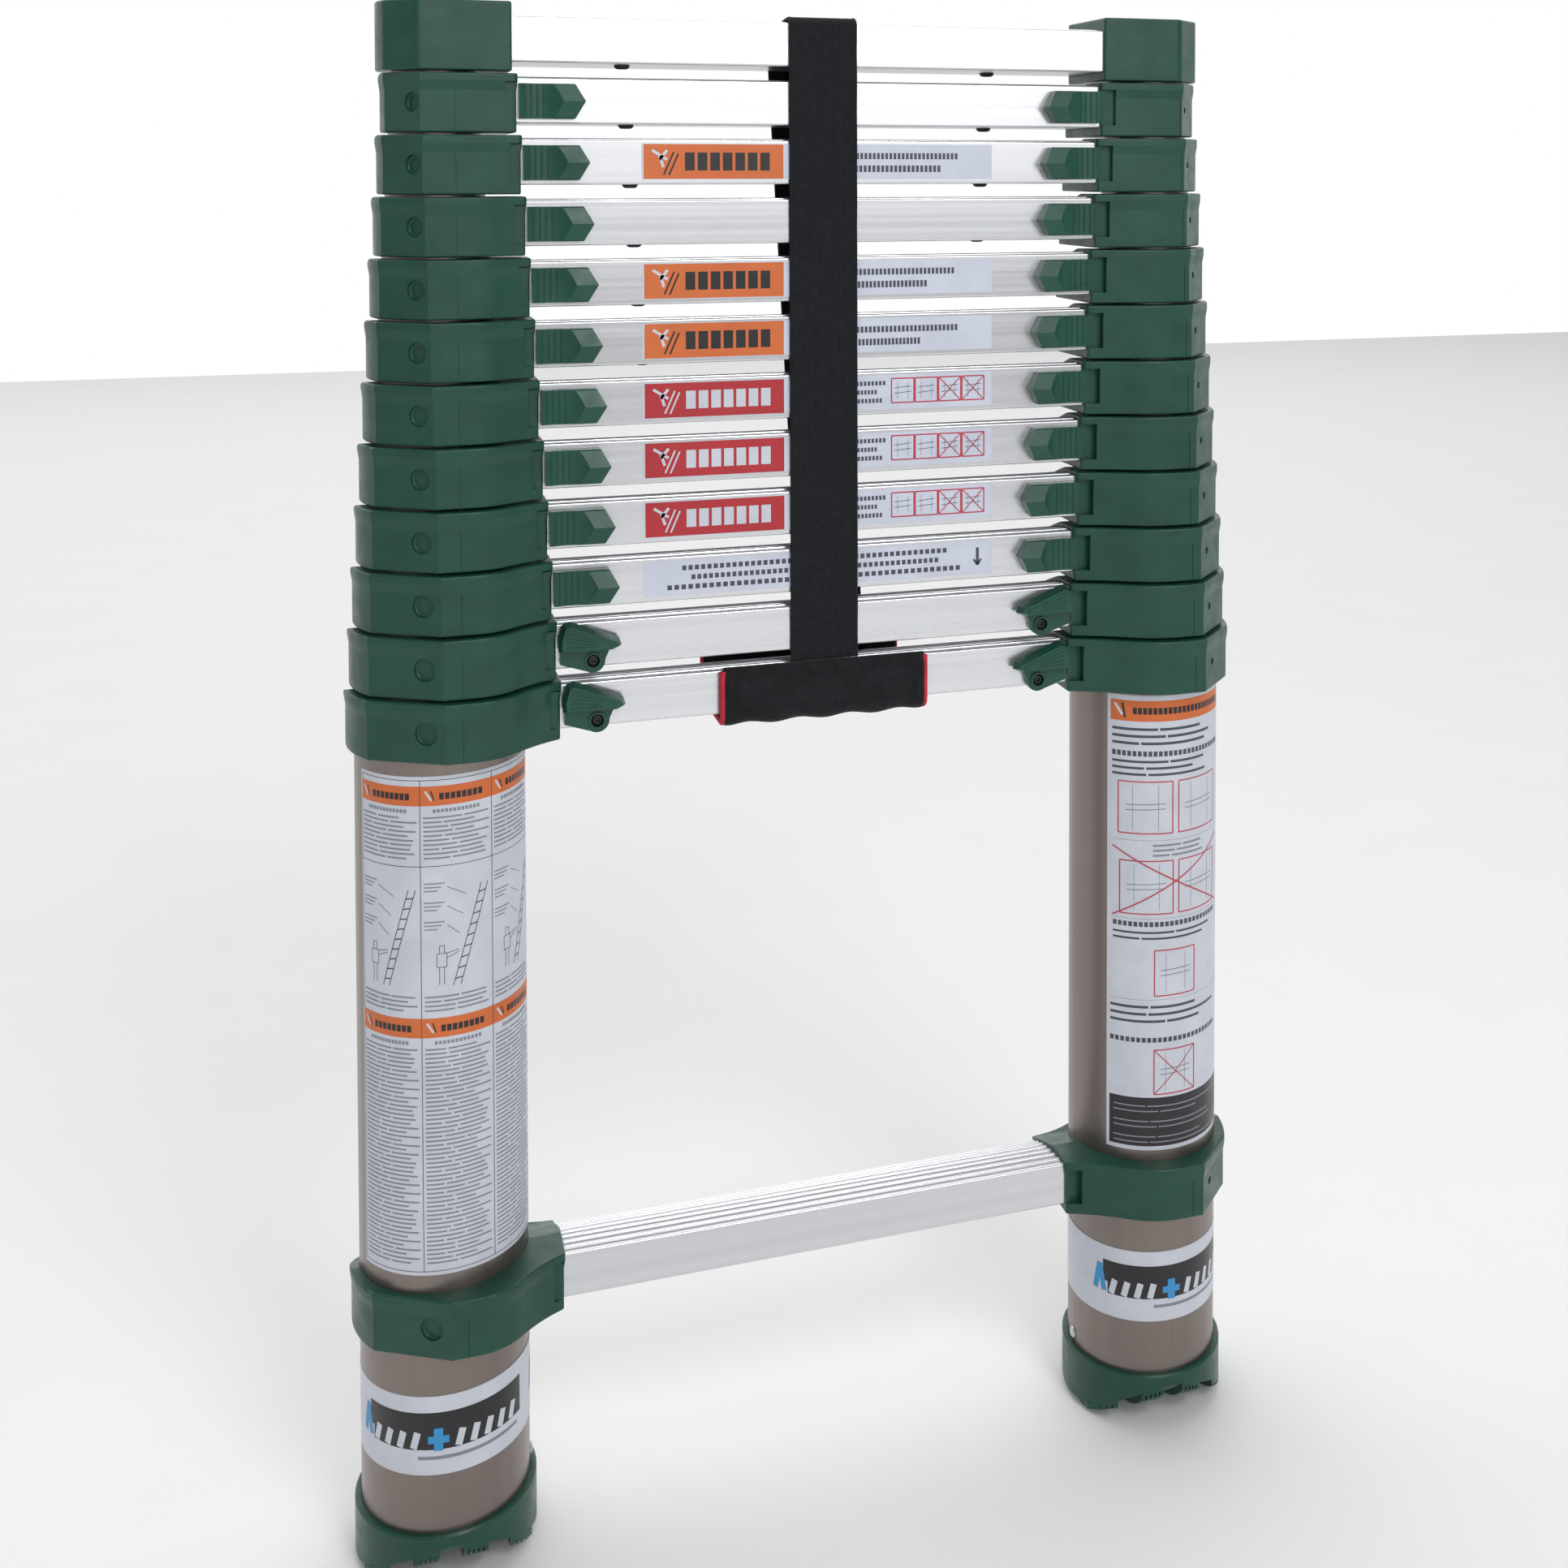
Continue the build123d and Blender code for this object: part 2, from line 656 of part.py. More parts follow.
def carry_strap():
    """Webbing loop from the handle up the front, over the top rung and down the back."""
    bottom = rung_height(2) + handle_rise + strap_gap
    inner = half_depth + strap_gap
    crest = rung_height(rung_count) + rung_front_height + ridge_radius + strap_gap
    rear = crest - rung_front_height + rung_rear_height + strap_slack
    fold = rear - strap_fold
    outer = inner + strap_thickness
    low_front = (-outer, bottom)
    low_rear = bottom - handle_back_drop
    with BuildPart() as loop:
        with BuildSketch(Plane.YZ.offset(-strap_width / 2)):
            with BuildLine():
                Polyline((outer, rear + strap_thickness), (outer, fold), (inner, fold), (inner, rear))
                RadiusArc((-inner, crest), (inner, rear), rung_arc)
                Polyline((-inner, crest), (-inner, bottom), low_front, (-outer, crest + strap_thickness))
                RadiusArc((-outer, crest + strap_thickness), (outer, rear + strap_thickness), rung_arc)
            make_face()
        extrude(amount=strap_width)
        with BuildSketch(Plane.XZ.offset(-outer)):
            with BuildLine():
                half = strap_width / 2
                Polyline((-half, fold), (half, fold), (half + strap_slant, low_rear),
                         (strap_slant - half, low_rear), close=True)
            make_face()
        extrude(amount=strap_thickness)
    return loop


# ---- the pieces of the ladder ----
outer_pin = [rung_height(2) + pin_height]
save(stile_pair(outer_radius, tube_seat, rung_height(2) + tube_top, outer_pin), "outer_stiles")

low_rungs = [rung(k, False).part for k in (1, 2)]
with BuildPart() as fixed_rungs:
    add(low_rungs)
save(fixed_rungs, "fixed_rungs")

low_plastics = [collars(1, False).part, collars(2, True).part, feet().part]
with BuildPart() as lower_collars:
    add(low_plastics)
save(lower_collars, "feet_and_lower_collars")

for k in range(3, rung_count + 1):
    top = rung_height(k) + tube_top
    holes = [rung_height(k - 1) + pin_height - section_travel]
    if k < rung_count:
        holes.append(rung_height(k) + pin_height)
    save(stile_pair(tube_radius(k), top - tube_length, top, holes), f"stiles_{k}")
    save(rung(k, k in slide_button_rungs), f"rung_{k}")
    mouldings = [glides(k).part, collars(k, True).part if k < rung_count else top_caps().part]
    with BuildPart() as plastics:
        add(mouldings)
    save(plastics, f"collars_{k}" if k < rung_count else "top_caps")

for name, rungs, make in (("button", slide_button_rungs, slide_button), ("lever", lever_rungs, flip_lever)):
    for k in rungs:
        left = make(k)
        save(left, f"{name}_{k}_left")
        with BuildPart() as right:
            add(left.part)
            mirror(about=Plane.YZ, mode=Mode.REPLACE)
        save(right, f"{name}_{k}_right")

save(carry_handle(), "carry_handle")
save(carry_strap(), "carry_strap")
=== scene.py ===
import math
import bmesh
import bpy
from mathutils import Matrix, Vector


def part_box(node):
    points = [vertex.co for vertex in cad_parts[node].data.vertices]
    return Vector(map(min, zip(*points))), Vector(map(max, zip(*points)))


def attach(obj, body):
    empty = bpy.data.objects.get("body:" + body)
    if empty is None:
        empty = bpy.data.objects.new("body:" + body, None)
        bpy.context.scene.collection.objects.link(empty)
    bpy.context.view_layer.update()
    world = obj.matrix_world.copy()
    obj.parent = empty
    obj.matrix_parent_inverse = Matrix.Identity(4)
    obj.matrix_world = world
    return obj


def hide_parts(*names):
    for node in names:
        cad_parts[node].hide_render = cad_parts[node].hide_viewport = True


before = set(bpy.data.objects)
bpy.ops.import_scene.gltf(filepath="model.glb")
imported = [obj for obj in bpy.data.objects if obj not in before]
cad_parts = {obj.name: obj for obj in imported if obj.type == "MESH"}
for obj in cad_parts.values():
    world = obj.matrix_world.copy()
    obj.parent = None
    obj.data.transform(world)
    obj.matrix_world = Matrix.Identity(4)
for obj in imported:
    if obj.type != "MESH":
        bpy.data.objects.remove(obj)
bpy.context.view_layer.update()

# Telescoping ladder: materials for the CAD nodes, printed films, rubber bumpers, screws,
# the webbing carry strap and its padded handle.  Metres, +Z up, climbing side towards -Y.

MM = 0.001
SLIDING = range(3, 14)       # rungs that slide

# ---- sizes, the same as in the CAD ----
TUBE_R = 0.0435              # outer stiles
TUBE_STEP = 0.002            # each tube is this much smaller in radius than the one round it
STILE_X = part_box("outer_stiles")[1][0] - TUBE_R
COLLAR_REACH = 0.016         # collar past its tube, along the rung
RUNG_FRONT = -0.0255         # front face of the rungs
FIRST_RUNG = 0.1310          # underside of the lowest rung
RUNG_SPACING = 0.3048        # between the two fixed rungs
STACK_PITCH = 0.03175        # between closed rungs
TREAD_PITCH = 0.0064         # from ridge to ridge on the treads
BACK_DROP = 0.0016           # rear wall of the handle below its front wall
FILM = 0.12 * MM             # printed film on the metal
FILM_LAYER = 0.05 * MM       # each ink layer on it
STROKE_STEP = 3 * MM         # pieces that a printed line is split into


def rung_bottom(k):
    """Underside of rung k above the floor."""
    return FIRST_RUNG if k == 1 else FIRST_RUNG + RUNG_SPACING + (k - 2) * STACK_PITCH


def rung_half(k):
    """Half of the visible length of rung k."""
    return STILE_X - (TUBE_R - TUBE_STEP * max(k - 2, 0)) - COLLAR_REACH


def section(k):
    """CAD body that carries rung k."""
    return "base" if k < 3 else f"section_{k}"


# ---- materials ----
def material(name, colour, rough, metallic=0.0, sheen=0.0, gloss=0.5):
    """A principled material with fixed settings on its own sockets."""
    mat = bpy.data.materials.new(name)
    mat.use_nodes = True
    shader = mat.node_tree.nodes["Principled BSDF"]
    shader.inputs["Base Color"].default_value = (*colour, 1)
    shader.inputs["Roughness"].default_value = rough
    shader.inputs["Metallic"].default_value = metallic
    shader.inputs["Sheen Weight"].default_value = sheen
    shader.inputs["Specular IOR Level"].default_value = gloss
    return mat


def noise(mat, scale, stretch, detail=3.0):
    """Noise over object coordinates, stretched along an axis; returns its value output."""
    tree = mat.node_tree
    place = tree.nodes.new("ShaderNodeTexCoord")
    mapping = tree.nodes.new("ShaderNodeMapping")
    field = tree.nodes.new("ShaderNodeTexNoise")
    mapping.inputs["Scale"].default_value = stretch
    field.inputs["Scale"].default_value = scale
    field.inputs["Detail"].default_value = detail
    tree.links.new(place.outputs["Object"], mapping.inputs["Vector"])
    tree.links.new(mapping.outputs["Vector"], field.inputs["Vector"])
    return field.outputs["Fac"]


def ribs(mat, pitch, direction):
    """Parallel ribs of a given pitch over object coordinates; returns their value output.

    The bands of Blender's wave texture are pi / (10 * scale) apart.
    """
    tree = mat.node_tree
    place = tree.nodes.new("ShaderNodeTexCoord")
    wave = tree.nodes.new("ShaderNodeTexWave")
    wave.bands_direction = direction
    wave.inputs["Scale"].default_value = math.pi / (10 * pitch)
    wave.inputs["Distortion"].default_value = 0.25
    tree.links.new(place.outputs["Object"], wave.inputs["Vector"])
    return wave.outputs["Fac"]


def spread(mat, value, low, high, socket):
    """Drives a number socket of the shader from low to high by a value."""
    tree = mat.node_tree
    span = tree.nodes.new("ShaderNodeMapRange")
    span.inputs["From Min"].default_value = 0.3
    span.inputs["From Max"].default_value = 0.7
    span.inputs["To Min"].default_value = low
    span.inputs["To Max"].default_value = high
    tree.links.new(value, span.inputs["Value"])
    tree.links.new(span.outputs["Result"], tree.nodes["Principled BSDF"].inputs[socket])


def tint(mat, value, dark, light, start=0.3, end=0.7):
    """Colours the shader from dark to light by a value."""
    tree = mat.node_tree
    ramp = tree.nodes.new("ShaderNodeValToRGB")
    ramp.color_ramp.elements[0].position = start
    ramp.color_ramp.elements[1].position = end
    ramp.color_ramp.elements[0].color = (*dark, 1)
    ramp.color_ramp.elements[1].color = (*light, 1)
    tree.links.new(value, ramp.inputs["Fac"])
    tree.links.new(ramp.outputs["Color"], tree.nodes["Principled BSDF"].inputs["Base Color"])


def relief(mat, value, strength, depth):
    """Bumps the surface by a value."""
    tree = mat.node_tree
    bump = tree.nodes.new("ShaderNodeBump")
    bump.inputs["Strength"].default_value = strength
    bump.inputs["Distance"].default_value = depth
    tree.links.new(value, bump.inputs["Height"])
    tree.links.new(bump.outputs["Normal"], tree.nodes["Principled BSDF"].inputs["Normal"])


def product(mat, first, second):
    """Product of two values."""
    node = mat.node_tree.nodes.new("ShaderNodeMath")
    node.operation = "MULTIPLY"
    mat.node_tree.links.new(first, node.inputs[0])
    mat.node_tree.links.new(second, node.inputs[1])
    return node.outputs["Value"]


def shade(colour, factor):
    """A colour, or any three numbers, times a factor."""
    return tuple(c * factor for c in colour)


def darken(mat, value, factor, start, end):
    """Multiplies the shader's colour down to a factor where a value is high; used for painted shade in the
    rung tread grooves.
    """
    tree = mat.node_tree
    ramp = tree.nodes.new("ShaderNodeMapRange")
    ramp.inputs["From Min"].default_value = start
    ramp.inputs["From Max"].default_value = end
    ramp.inputs["To Min"].default_value = 1.0
    ramp.inputs["To Max"].default_value = factor
    scale = tree.nodes.new("ShaderNodeVectorMath")
    scale.operation = "SCALE"
    base = tree.nodes["Principled BSDF"].inputs["Base Color"]
    tree.links.new(value, ramp.inputs["Value"])
    tree.links.new(base.links[0].from_socket, scale.inputs["Vector"])
    tree.links.new(ramp.outputs["Result"], scale.inputs["Scale"])
    tree.links.new(scale.outputs["Vector"], base)


def drawn_metal(name, colour, rough, stretch, change):
    """Anodised metal with fine drawing lines along one axis."""
    mat = material(name, colour, rough, metallic=0.82)
    broad = noise(mat, 1.0, shade(stretch, 0.25), 4.0)
    tint(mat, broad, shade(colour, 1 - change), shade(colour, 1 + change))
    spread(mat, noise(mat, 1.0, shade(stretch, 0.6), 2.0), rough - 0.04, rough + 0.04, "Roughness")
    relief(mat, noise(mat, 1.0, stretch), 0.06, 0.05 * MM)
    return mat


def moulded(name, colour, rough):
    """Moulded plastic: fine spark texture, slightly uneven gloss, faint pale scuffs."""
    mat = material(name, colour, rough, gloss=0.36)
    tint(mat, noise(mat, 42.0, (1, 1, 1.6), 5.0), shade(colour, 0.86), shade(colour, 1.22), 0.25, 0.8)
    spread(mat, noise(mat, 90.0, (1, 1, 1)), rough - 0.07, rough + 0.1, "Roughness")
    relief(mat, noise(mat, 2600.0, (1, 1, 1), 2.0), 0.22, 0.06 * MM)
    return mat


def printed(name, colour, rough=0.42):
    """Printed vinyl film."""
    mat = material(name, colour, rough)
    tint(mat, noise(mat, 60.0, (1, 1, 1)), shade(colour, 0.94), shade(colour, 1.05))
    spread(mat, noise(mat, 120.0, (1, 1, 1)), rough - 0.06, rough + 0.06, "Roughness")
    relief(mat, noise(mat, 900.0, (1, 1, 1)), 0.05, 0.03 * MM)
    return mat


def webbing(name, colour):
    """Woven webbing: fine ribs along it crossed by the weft."""
    mat = material(name, colour, 0.85, sheen=0.08, gloss=0.2)
    along = ribs(mat, 1.25 * MM, "X")
    across = ribs(mat, 0.85 * MM, "Z")
    weave = product(mat, along, across)
    tint(mat, weave, shade(colour, 0.45), shade(colour, 1.9), 0.0, 0.8)
    spread(mat, noise(mat, 300.0, (1, 1, 1)), 0.72, 0.95, "Roughness")
    relief(mat, weave, 0.7, 0.35 * MM)
    return mat


def knitted(name, colour, rough, depth):
    """Fine knitted face of a padded or bound fabric."""
    mat = material(name, colour, rough, sheen=0.08, gloss=0.2)
    knit = product(mat, ribs(mat, 0.7 * MM, "DIAGONAL"), noise(mat, 1400.0, (1, 1, 1), 2.0))
    tint(mat, noise(mat, 70.0, (1, 1, 1), 5.0), shade(colour, 0.75), shade(colour, 1.35))
    spread(mat, noise(mat, 240.0, (1, 1, 1)), rough - 0.1, rough + 0.1, "Roughness")
    relief(mat, knit, 0.5, depth)
    return mat


TUBE = drawn_metal("champagne_tube", (0.235, 0.199, 0.181), 0.32, (700, 700, 9), 0.045)
RUNG = drawn_metal("satin_rung", (0.69, 0.70, 0.725), 0.25, (2.5, 500, 700), 0.05)
# painted shade: thin dark lines in the rung colour between the tread ridges, where the grooves fall into
# shade
darken(RUNG, ribs(RUNG, TREAD_PITCH, "Y"), 0.35, 0.55, 0.95)
STEEL = drawn_metal("zinc_steel", (0.55, 0.55, 0.54), 0.33, (500, 500, 500), 0.12)
BLACK_STEEL = drawn_metal("blackened_steel", (0.035, 0.04, 0.04), 0.42, (500, 500, 500), 0.2)
GREEN = moulded("green_plastic", (0.0110, 0.061, 0.042), 0.33)
GREEN_LIGHT = moulded("green_release_plastic", (0.0120, 0.068, 0.047), 0.30)
RUBBER = moulded("grey_bumper", (0.055, 0.06, 0.058), 0.6)
WEBBING = webbing("black_webbing", (0.011, 0.0125, 0.0155))
NEOPRENE = knitted("charcoal_neoprene", (0.0085, 0.0095, 0.0115), 0.82, 0.12 * MM)
PIPING = knitted("red_piping", (0.48, 0.022, 0.04), 0.75, 0.1 * MM)
THREAD = knitted("dark_thread", (0.014, 0.015, 0.018), 0.7, 0.05 * MM)
WHITE_FILM = printed("white_film", (0.56, 0.585, 0.655))
PALE_FILM = printed("pale_film", (0.56, 0.595, 0.70))
GREY_INK = printed("grey_ink", (0.21, 0.225, 0.27))
DARK_INK = printed("dark_ink", (0.055, 0.06, 0.085))
BLACK_INK = printed("black_ink", (0.012, 0.011, 0.014), 0.34)
ORANGE_INK = printed("orange_ink", (0.60, 0.135, 0.028))
RED_INK = printed("red_ink", (0.42, 0.018, 0.026))
FRAME_INK = printed("crimson_ink", (0.46, 0.035, 0.06))
BLUE_INK = printed("blue_ink", (0.03, 0.27, 0.56))
INKS = [WHITE_FILM, PALE_FILM, GREY_INK, DARK_INK, BLACK_INK, ORANGE_INK, RED_INK, FRAME_INK, BLUE_INK]
WHITE, PALE, GREY, DARK, BLACK, ORANGE, RED, CRIMSON, BLUE = range(len(INKS))


# ---- mesh helpers ----
def new_object(name, mesh, materials, smooth=True):
    """Links a mesh into the scene with its materials."""
    for mat in materials:
        mesh.materials.append(mat)
    if smooth:
        mesh.shade_smooth()
    piece = bpy.data.objects.new(name, mesh)
    bpy.context.scene.collection.objects.link(piece)
    return piece


def from_bmesh(name, bm, materials, smooth=True):
    """Turns a bmesh into an object, with its faces turned outwards."""
    mesh = bpy.data.meshes.new(name)
    bmesh.ops.recalc_face_normals(bm, faces=bm.faces)
    bm.to_mesh(mesh)
    bm.free()
    return new_object(name, mesh, materials, smooth)


def turned(bm, profile, centre, axis, steps=28):
    """Adds a turned shape: profile is (radius, along) from end to end, axis a unit vector."""
    axis = Vector(axis)
    side = axis.orthogonal().normalized()
    up = axis.cross(side)
    rings = []
    for radius, along in profile:
        base = Vector(centre) + axis * along
        if radius == 0:
            rings.append([bm.verts.new(base)])
            continue
        ring = []
        for i in range(steps):
            turn = 2 * math.pi * i / steps
            ring.append(bm.verts.new(base + radius * (math.cos(turn) * side + math.sin(turn) * up)))
        rings.append(ring)
    for low, high in zip(rings, rings[1:]):
        for i in range(steps):
            j = (i + 1) % steps
            corners = [low[i % len(low)], low[j % len(low)], high[j % len(high)], high[i % len(high)]]
            bm.faces.new(list(dict.fromkeys(corners)))


def swept(bm, points, radius, steps=8):
    """Adds a round bar along a list of points, with closed ends."""
    askew = Vector((0.31, 0.17, 0.94))       # in line with none of the bars
    rings = []
    for i, point in enumerate(points):
        before = points[max(i - 1, 0)]
        after = points[min(i + 1, len(points) - 1)]
        along = (Vector(after) - Vector(before)).normalized()
        side = along.cross(askew).normalized()
        up = along.cross(side)
        ring = []
        for s in range(steps):
            turn = 2 * math.pi * s / steps
            ring.append(bm.verts.new(Vector(point) + radius * (math.cos(turn) * side + math.sin(turn) * up)))
        rings.append(ring)
    for low, high in zip(rings, rings[1:]):
        for s in range(steps):
            t = (s + 1) % steps
            bm.faces.new((low[s], low[t], high[t], high[s]))
    bm.faces.new(rings[0])
    bm.faces.new(rings[-1])


def stitches(name, path, outward, length, gap, radius, mat):
    """A row of stitches along a path of points: short bars that dip at their ends."""
    begin, rise, fall, finish = 0.15, 0.25, 0.75, 0.85       # along a step, and along a stitch
    bm = bmesh.new()
    for start, end in zip(path, path[1:]):
        start = Vector(start)
        run = Vector(end) - start
        count = max(int(run.length / (length + gap)), 1)
        step = run / count
        for i in range(count):
            first = start + step * (i + begin)
            last = start + step * (i + finish)
            lift = Vector(outward) * radius
            swept(bm, [first - lift, first.lerp(last, rise) + lift, first.lerp(last, fall) + lift,
                       last - lift], radius, 6)
    return from_bmesh(name, bm, [mat])


def slab(bm, place, box, layer, ink):
    """Adds one printed area: box is (u0, u1, v0, v1) in the film's own plane, split into strips."""
    u0, u1, v0, v1 = box
    parts = max(int(abs(u1 - u0) / place.step), 1)
    height = FILM + layer * FILM_LAYER
    rows = []
    for v in (v0, v1):
        rows.append([bm.verts.new(place(u0 + (u1 - u0) * i / parts, v, height)) for i in range(parts + 1)])
    for i in range(parts):
        face = bm.faces.new((rows[0][i], rows[0][i + 1], rows[1][i + 1], rows[1][i]))
        face.material_index = ink


def stroke(bm, place, start, end, width, layer, ink):
    """Adds one printed line between two points of the film."""
    du = end[0] - start[0]
    dv = end[1] - start[1]
    length = math.hypot(du * place.unit, dv)
    parts = max(int(length / STROKE_STEP), 1)
    height = FILM + layer * FILM_LAYER
    side_u = -dv / length * width / 2 / place.unit
    side_v = du * place.unit / length * width / 2
    rows = []
    for sign in (-1, 1):
        rows.append([bm.verts.new(place(start[0] + du * i / parts + sign * side_u,
                                        start[1] + dv * i / parts + sign * side_v, height))
                     for i in range(parts + 1)])
    for i in range(parts):
        face = bm.faces.new((rows[0][i], rows[0][i + 1], rows[1][i + 1], rows[1][i]))
        face.material_index = ink


def outline(bm, place, box, width, layer, ink):
    """Adds a printed frame."""
    u0, u1, v0, v1 = box
    corners = [(u0, v0), (u1, v0), (u1, v1), (u0, v1), (u0, v0)]
    for start, end in zip(corners, corners[1:]):
        stroke(bm, place, start, end, width, layer, ink)


def text_rows(bm, place, box, pitch, share, layer, ink, seed):
    """Adds rows of blank bars that stand for lines of small print."""
    u0, u1, v0, v1 = box
    count = int((v1 - v0) / pitch)
    for row in range(count):
        v = v1 - pitch * (row + 0.5)
        cut = 0.72 + 0.28 * abs(math.sin(1.7 * row + seed))      # uneven ends
        gap = 0.42 + 0.16 * math.sin(2.3 * row + seed)           # uneven breaks
        end = u0 + (u1 - u0) * cut
        middle = u0 + (end - u0) * gap
        space = 1.2 * MM / place.unit
        line = (v - pitch * share / 2, v + pitch * share / 2)
        slab(bm, place, (u0, middle, *line), layer, ink)
        slab(bm, place, (middle + space, end, *line), layer, ink)


def letters(bm, place, box, count, share, layer, ink):
    """Adds a row of blank blocks that stand for the letters of a word."""
    u0, u1, v0, v1 = box
    pitch = (u1 - u0) / count
    for i in range(count):
        slab(bm, place, (u0 + i * pitch, u0 + (i + share) * pitch, v0, v1), layer, ink)


def below(edge, span):
    """Two heights, given as distances down from an edge."""
    return edge - span[0], edge - span[1]


class Round:
    """Film wrapped round a stile: u is the turn from -Y towards +X in degrees, v the height."""
    step = 4.0

    def __init__(self, axis_x, radius):
        self.axis_x = axis_x
        self.radius = radius
        self.unit = math.radians(radius)

    def __call__(self, u, v, height):
        r = self.radius + height
        return (self.axis_x + r * math.sin(math.radians(u)), -r * math.cos(math.radians(u)), v)


class Flat:
    """Film on the front of a rung: u along X, v the height."""
    step = 0.03
    unit = 1.0

    def __init__(self, y):
        self.y = y

    def __call__(self, u, v, height):
        return (u, self.y - height, v)


def film(name, bm, body):
    """Finishes a film: makes it an object with the inks and fixes it to a body."""
    mesh = bpy.data.meshes.new(name)
    bm.to_mesh(mesh)
    bm.free()
    piece = new_object(name, mesh, INKS, smooth=False)
    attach(piece, body)
    return piece


# ---- printed films ----
def column(bm, place, u0, u1, top, bottom, seed):
    """One column of the left stile's instruction film, laid out downwards from its top edge."""
    edge = 1.6 * MM / place.unit
    inner = (u0 + edge, u1 - edge)
    bars, bar_height = (0.0050, 0.1240), 0.0100
    title, heading = (0.0070, 0.0036), (0.0136, 0.0118)      # below the top of a bar
    sign = (0.0024, 0.0074)
    intro, rule = (0.0440, 0.0200), 0.0460
    picture, caption = (0.1100, 0.0520), (0.1230, 0.1120)
    small, last, share = 2.3 * MM, 2.25 * MM, 0.36           # small print
    for drop in bars:
        bar = top - drop
        slab(bm, place, (u0, u1, bar - bar_height, bar), 2, ORANGE)
        letters(bm, place, (u0 + 6 * edge, u1 - 3 * edge, *below(bar, title)), 8, 0.78, 3, BLACK)
        for start, end, width, ink in ((1.6, 3.6, 1.1, WHITE), (3.4, 4.4, 0.7, BLACK)):
            stroke(bm, place, (u0 + start * edge, bar - sign[0]), (u0 + end * edge, bar - sign[1]),
                   width * MM, 3, ink)
        letters(bm, place, (u0 + 4 * edge, u1 - 4 * edge, *below(bar, heading)), 12, 0.7, 2, GREY)
    text_rows(bm, place, (*inner, *below(top, intro)), small, share, 2, GREY, seed)
    stroke(bm, place, (u0, top - rule), (u1, top - rule), 0.3 * MM, 2, DARK)
    figure(bm, place, *inner, *below(top, picture))
    text_rows(bm, place, (*inner, *below(top, caption)), small, share, 2, GREY, seed + 1)
    closing = (bottom + 0.0030, top - bars[1] - 0.0150)
    text_rows(bm, place, (*inner, *closing), last, share, 2, GREY, seed + 2)


def figure(bm, place, u0, u1, low, high):
    """A small generic ladder drawing: two leaning lines with rungs, a person and leader lines."""
    width = u1 - u0
    foot = (u0 + width * 0.42, low + 0.002)
    head = (u0 + width * 0.86, high - 0.006)
    gap = width * 0.11           # between the two stiles
    rungs = 9
    for shift in (0, gap):
        stroke(bm, place, (foot[0] + shift, foot[1]), (head[0] + shift, head[1]), 0.4 * MM, 2, DARK)
    for i in range(rungs):
        part = (i + 0.6) / (rungs + 0.5)
        u = foot[0] + (head[0] - foot[0]) * part
        v = foot[1] + (head[1] - foot[1]) * part
        stroke(bm, place, (u, v), (u + gap, v + 0.0006), 0.6 * MM, 2, DARK)
    person(bm, place, u0 + width * 0.22, low + 0.003, 0.020)
    note_pitch = 1.9 * MM
    for i, part in enumerate((0.95, 0.78, 0.61)):
        v = low + (high - low) * part
        for line in range(3):
            level = v - line * note_pitch
            stroke(bm, place, (u0, level), (u0 + width * (0.3 - 0.05 * line), level), 0.6 * MM, 2, GREY)
        start = (u0 + width * 0.34, v - 2 * MM)
        end = (u0 + width * (0.62 - 0.05 * i), v - 7 * MM)
        stroke(bm, place, start, end, 0.25 * MM, 2, DARK)


def person(bm, place, u, foot, height):
    """A small generic standing figure in outline, facing a ladder on its right."""
    leg = height * 0.12 / place.unit
    hip = foot + height * 0.45
    neck = foot + height * 0.8
    crown = foot + height
    back, chest, hand = -leg / 2, 1.5 * leg, 4 * leg
    raised, shoulder = neck + height * 0.06, neck - height * 0.12
    lines = (((0, foot), (0, hip)), ((leg, foot), (leg, hip)),
             ((back, hip), (back, neck)), ((chest, hip), (chest, neck)),
             ((back, hip), (chest, hip)), ((back, neck), (chest, neck)),
             ((chest, neck), (hand, raised)), ((chest, shoulder), (hand, neck)),
             ((0, neck), (0, crown)), ((leg, neck), (leg, crown)), ((0, crown), (leg, crown)))
    for start, end in lines:
        stroke(bm, place, (u + start[0], start[1]), (u + end[0], end[1]), 0.3 * MM, 2, DARK)


def left_film():
    """Instruction film round the left outer stile, three columns wide."""
    place = Round(-STILE_X, TUBE_R)
    bm = bmesh.new()
    low, high = 0.1662, 0.4230
    start, width, columns = -65.0, 48.6, 3       # in degrees round the stile
    margin, side_margin = 0.002, 1.5
    end = start + columns * width
    slab(bm, place, (start - side_margin, end + side_margin, low, high), 0, WHITE)
    outline(bm, place, (start, end, low + margin, high - margin), 0.35 * MM, 1, DARK)
    for i in range(columns):
        u0 = start + i * width
        column(bm, place, u0, u0 + width, high, low + margin, 1.3 * i)
        if i:
            stroke(bm, place, (u0, low + margin), (u0, high - margin), 0.3 * MM, 4, DARK)
    return film("left_instruction_film", bm, "base")


def crossed(bm, place, box, cross):
    """A red picture frame with a small line drawing, crossed out or not."""
    u0, u1, v0, v1 = box
    third = (u1 - u0) / 3
    middle = (v0 + v1) / 2
    upright_gap, bar_gap, slope = 0.002, 0.0015, 0.0008
    outline(bm, place, box, 0.7 * MM, 2, CRIMSON)
    for u in (u0 + third * 0.8, u1 - third * 0.8):
        stroke(bm, place, (u, v0 + upright_gap), (u, v1 - upright_gap), 0.25 * MM, 2, GREY)
    for v in (middle - bar_gap, middle + bar_gap):
        stroke(bm, place, (u0 + third * 0.4, v), (u1 - third * 0.4, v + slope), 0.3 * MM, 2, DARK)
    if cross:
        strike_out(bm, place, box, 0.5 * MM)


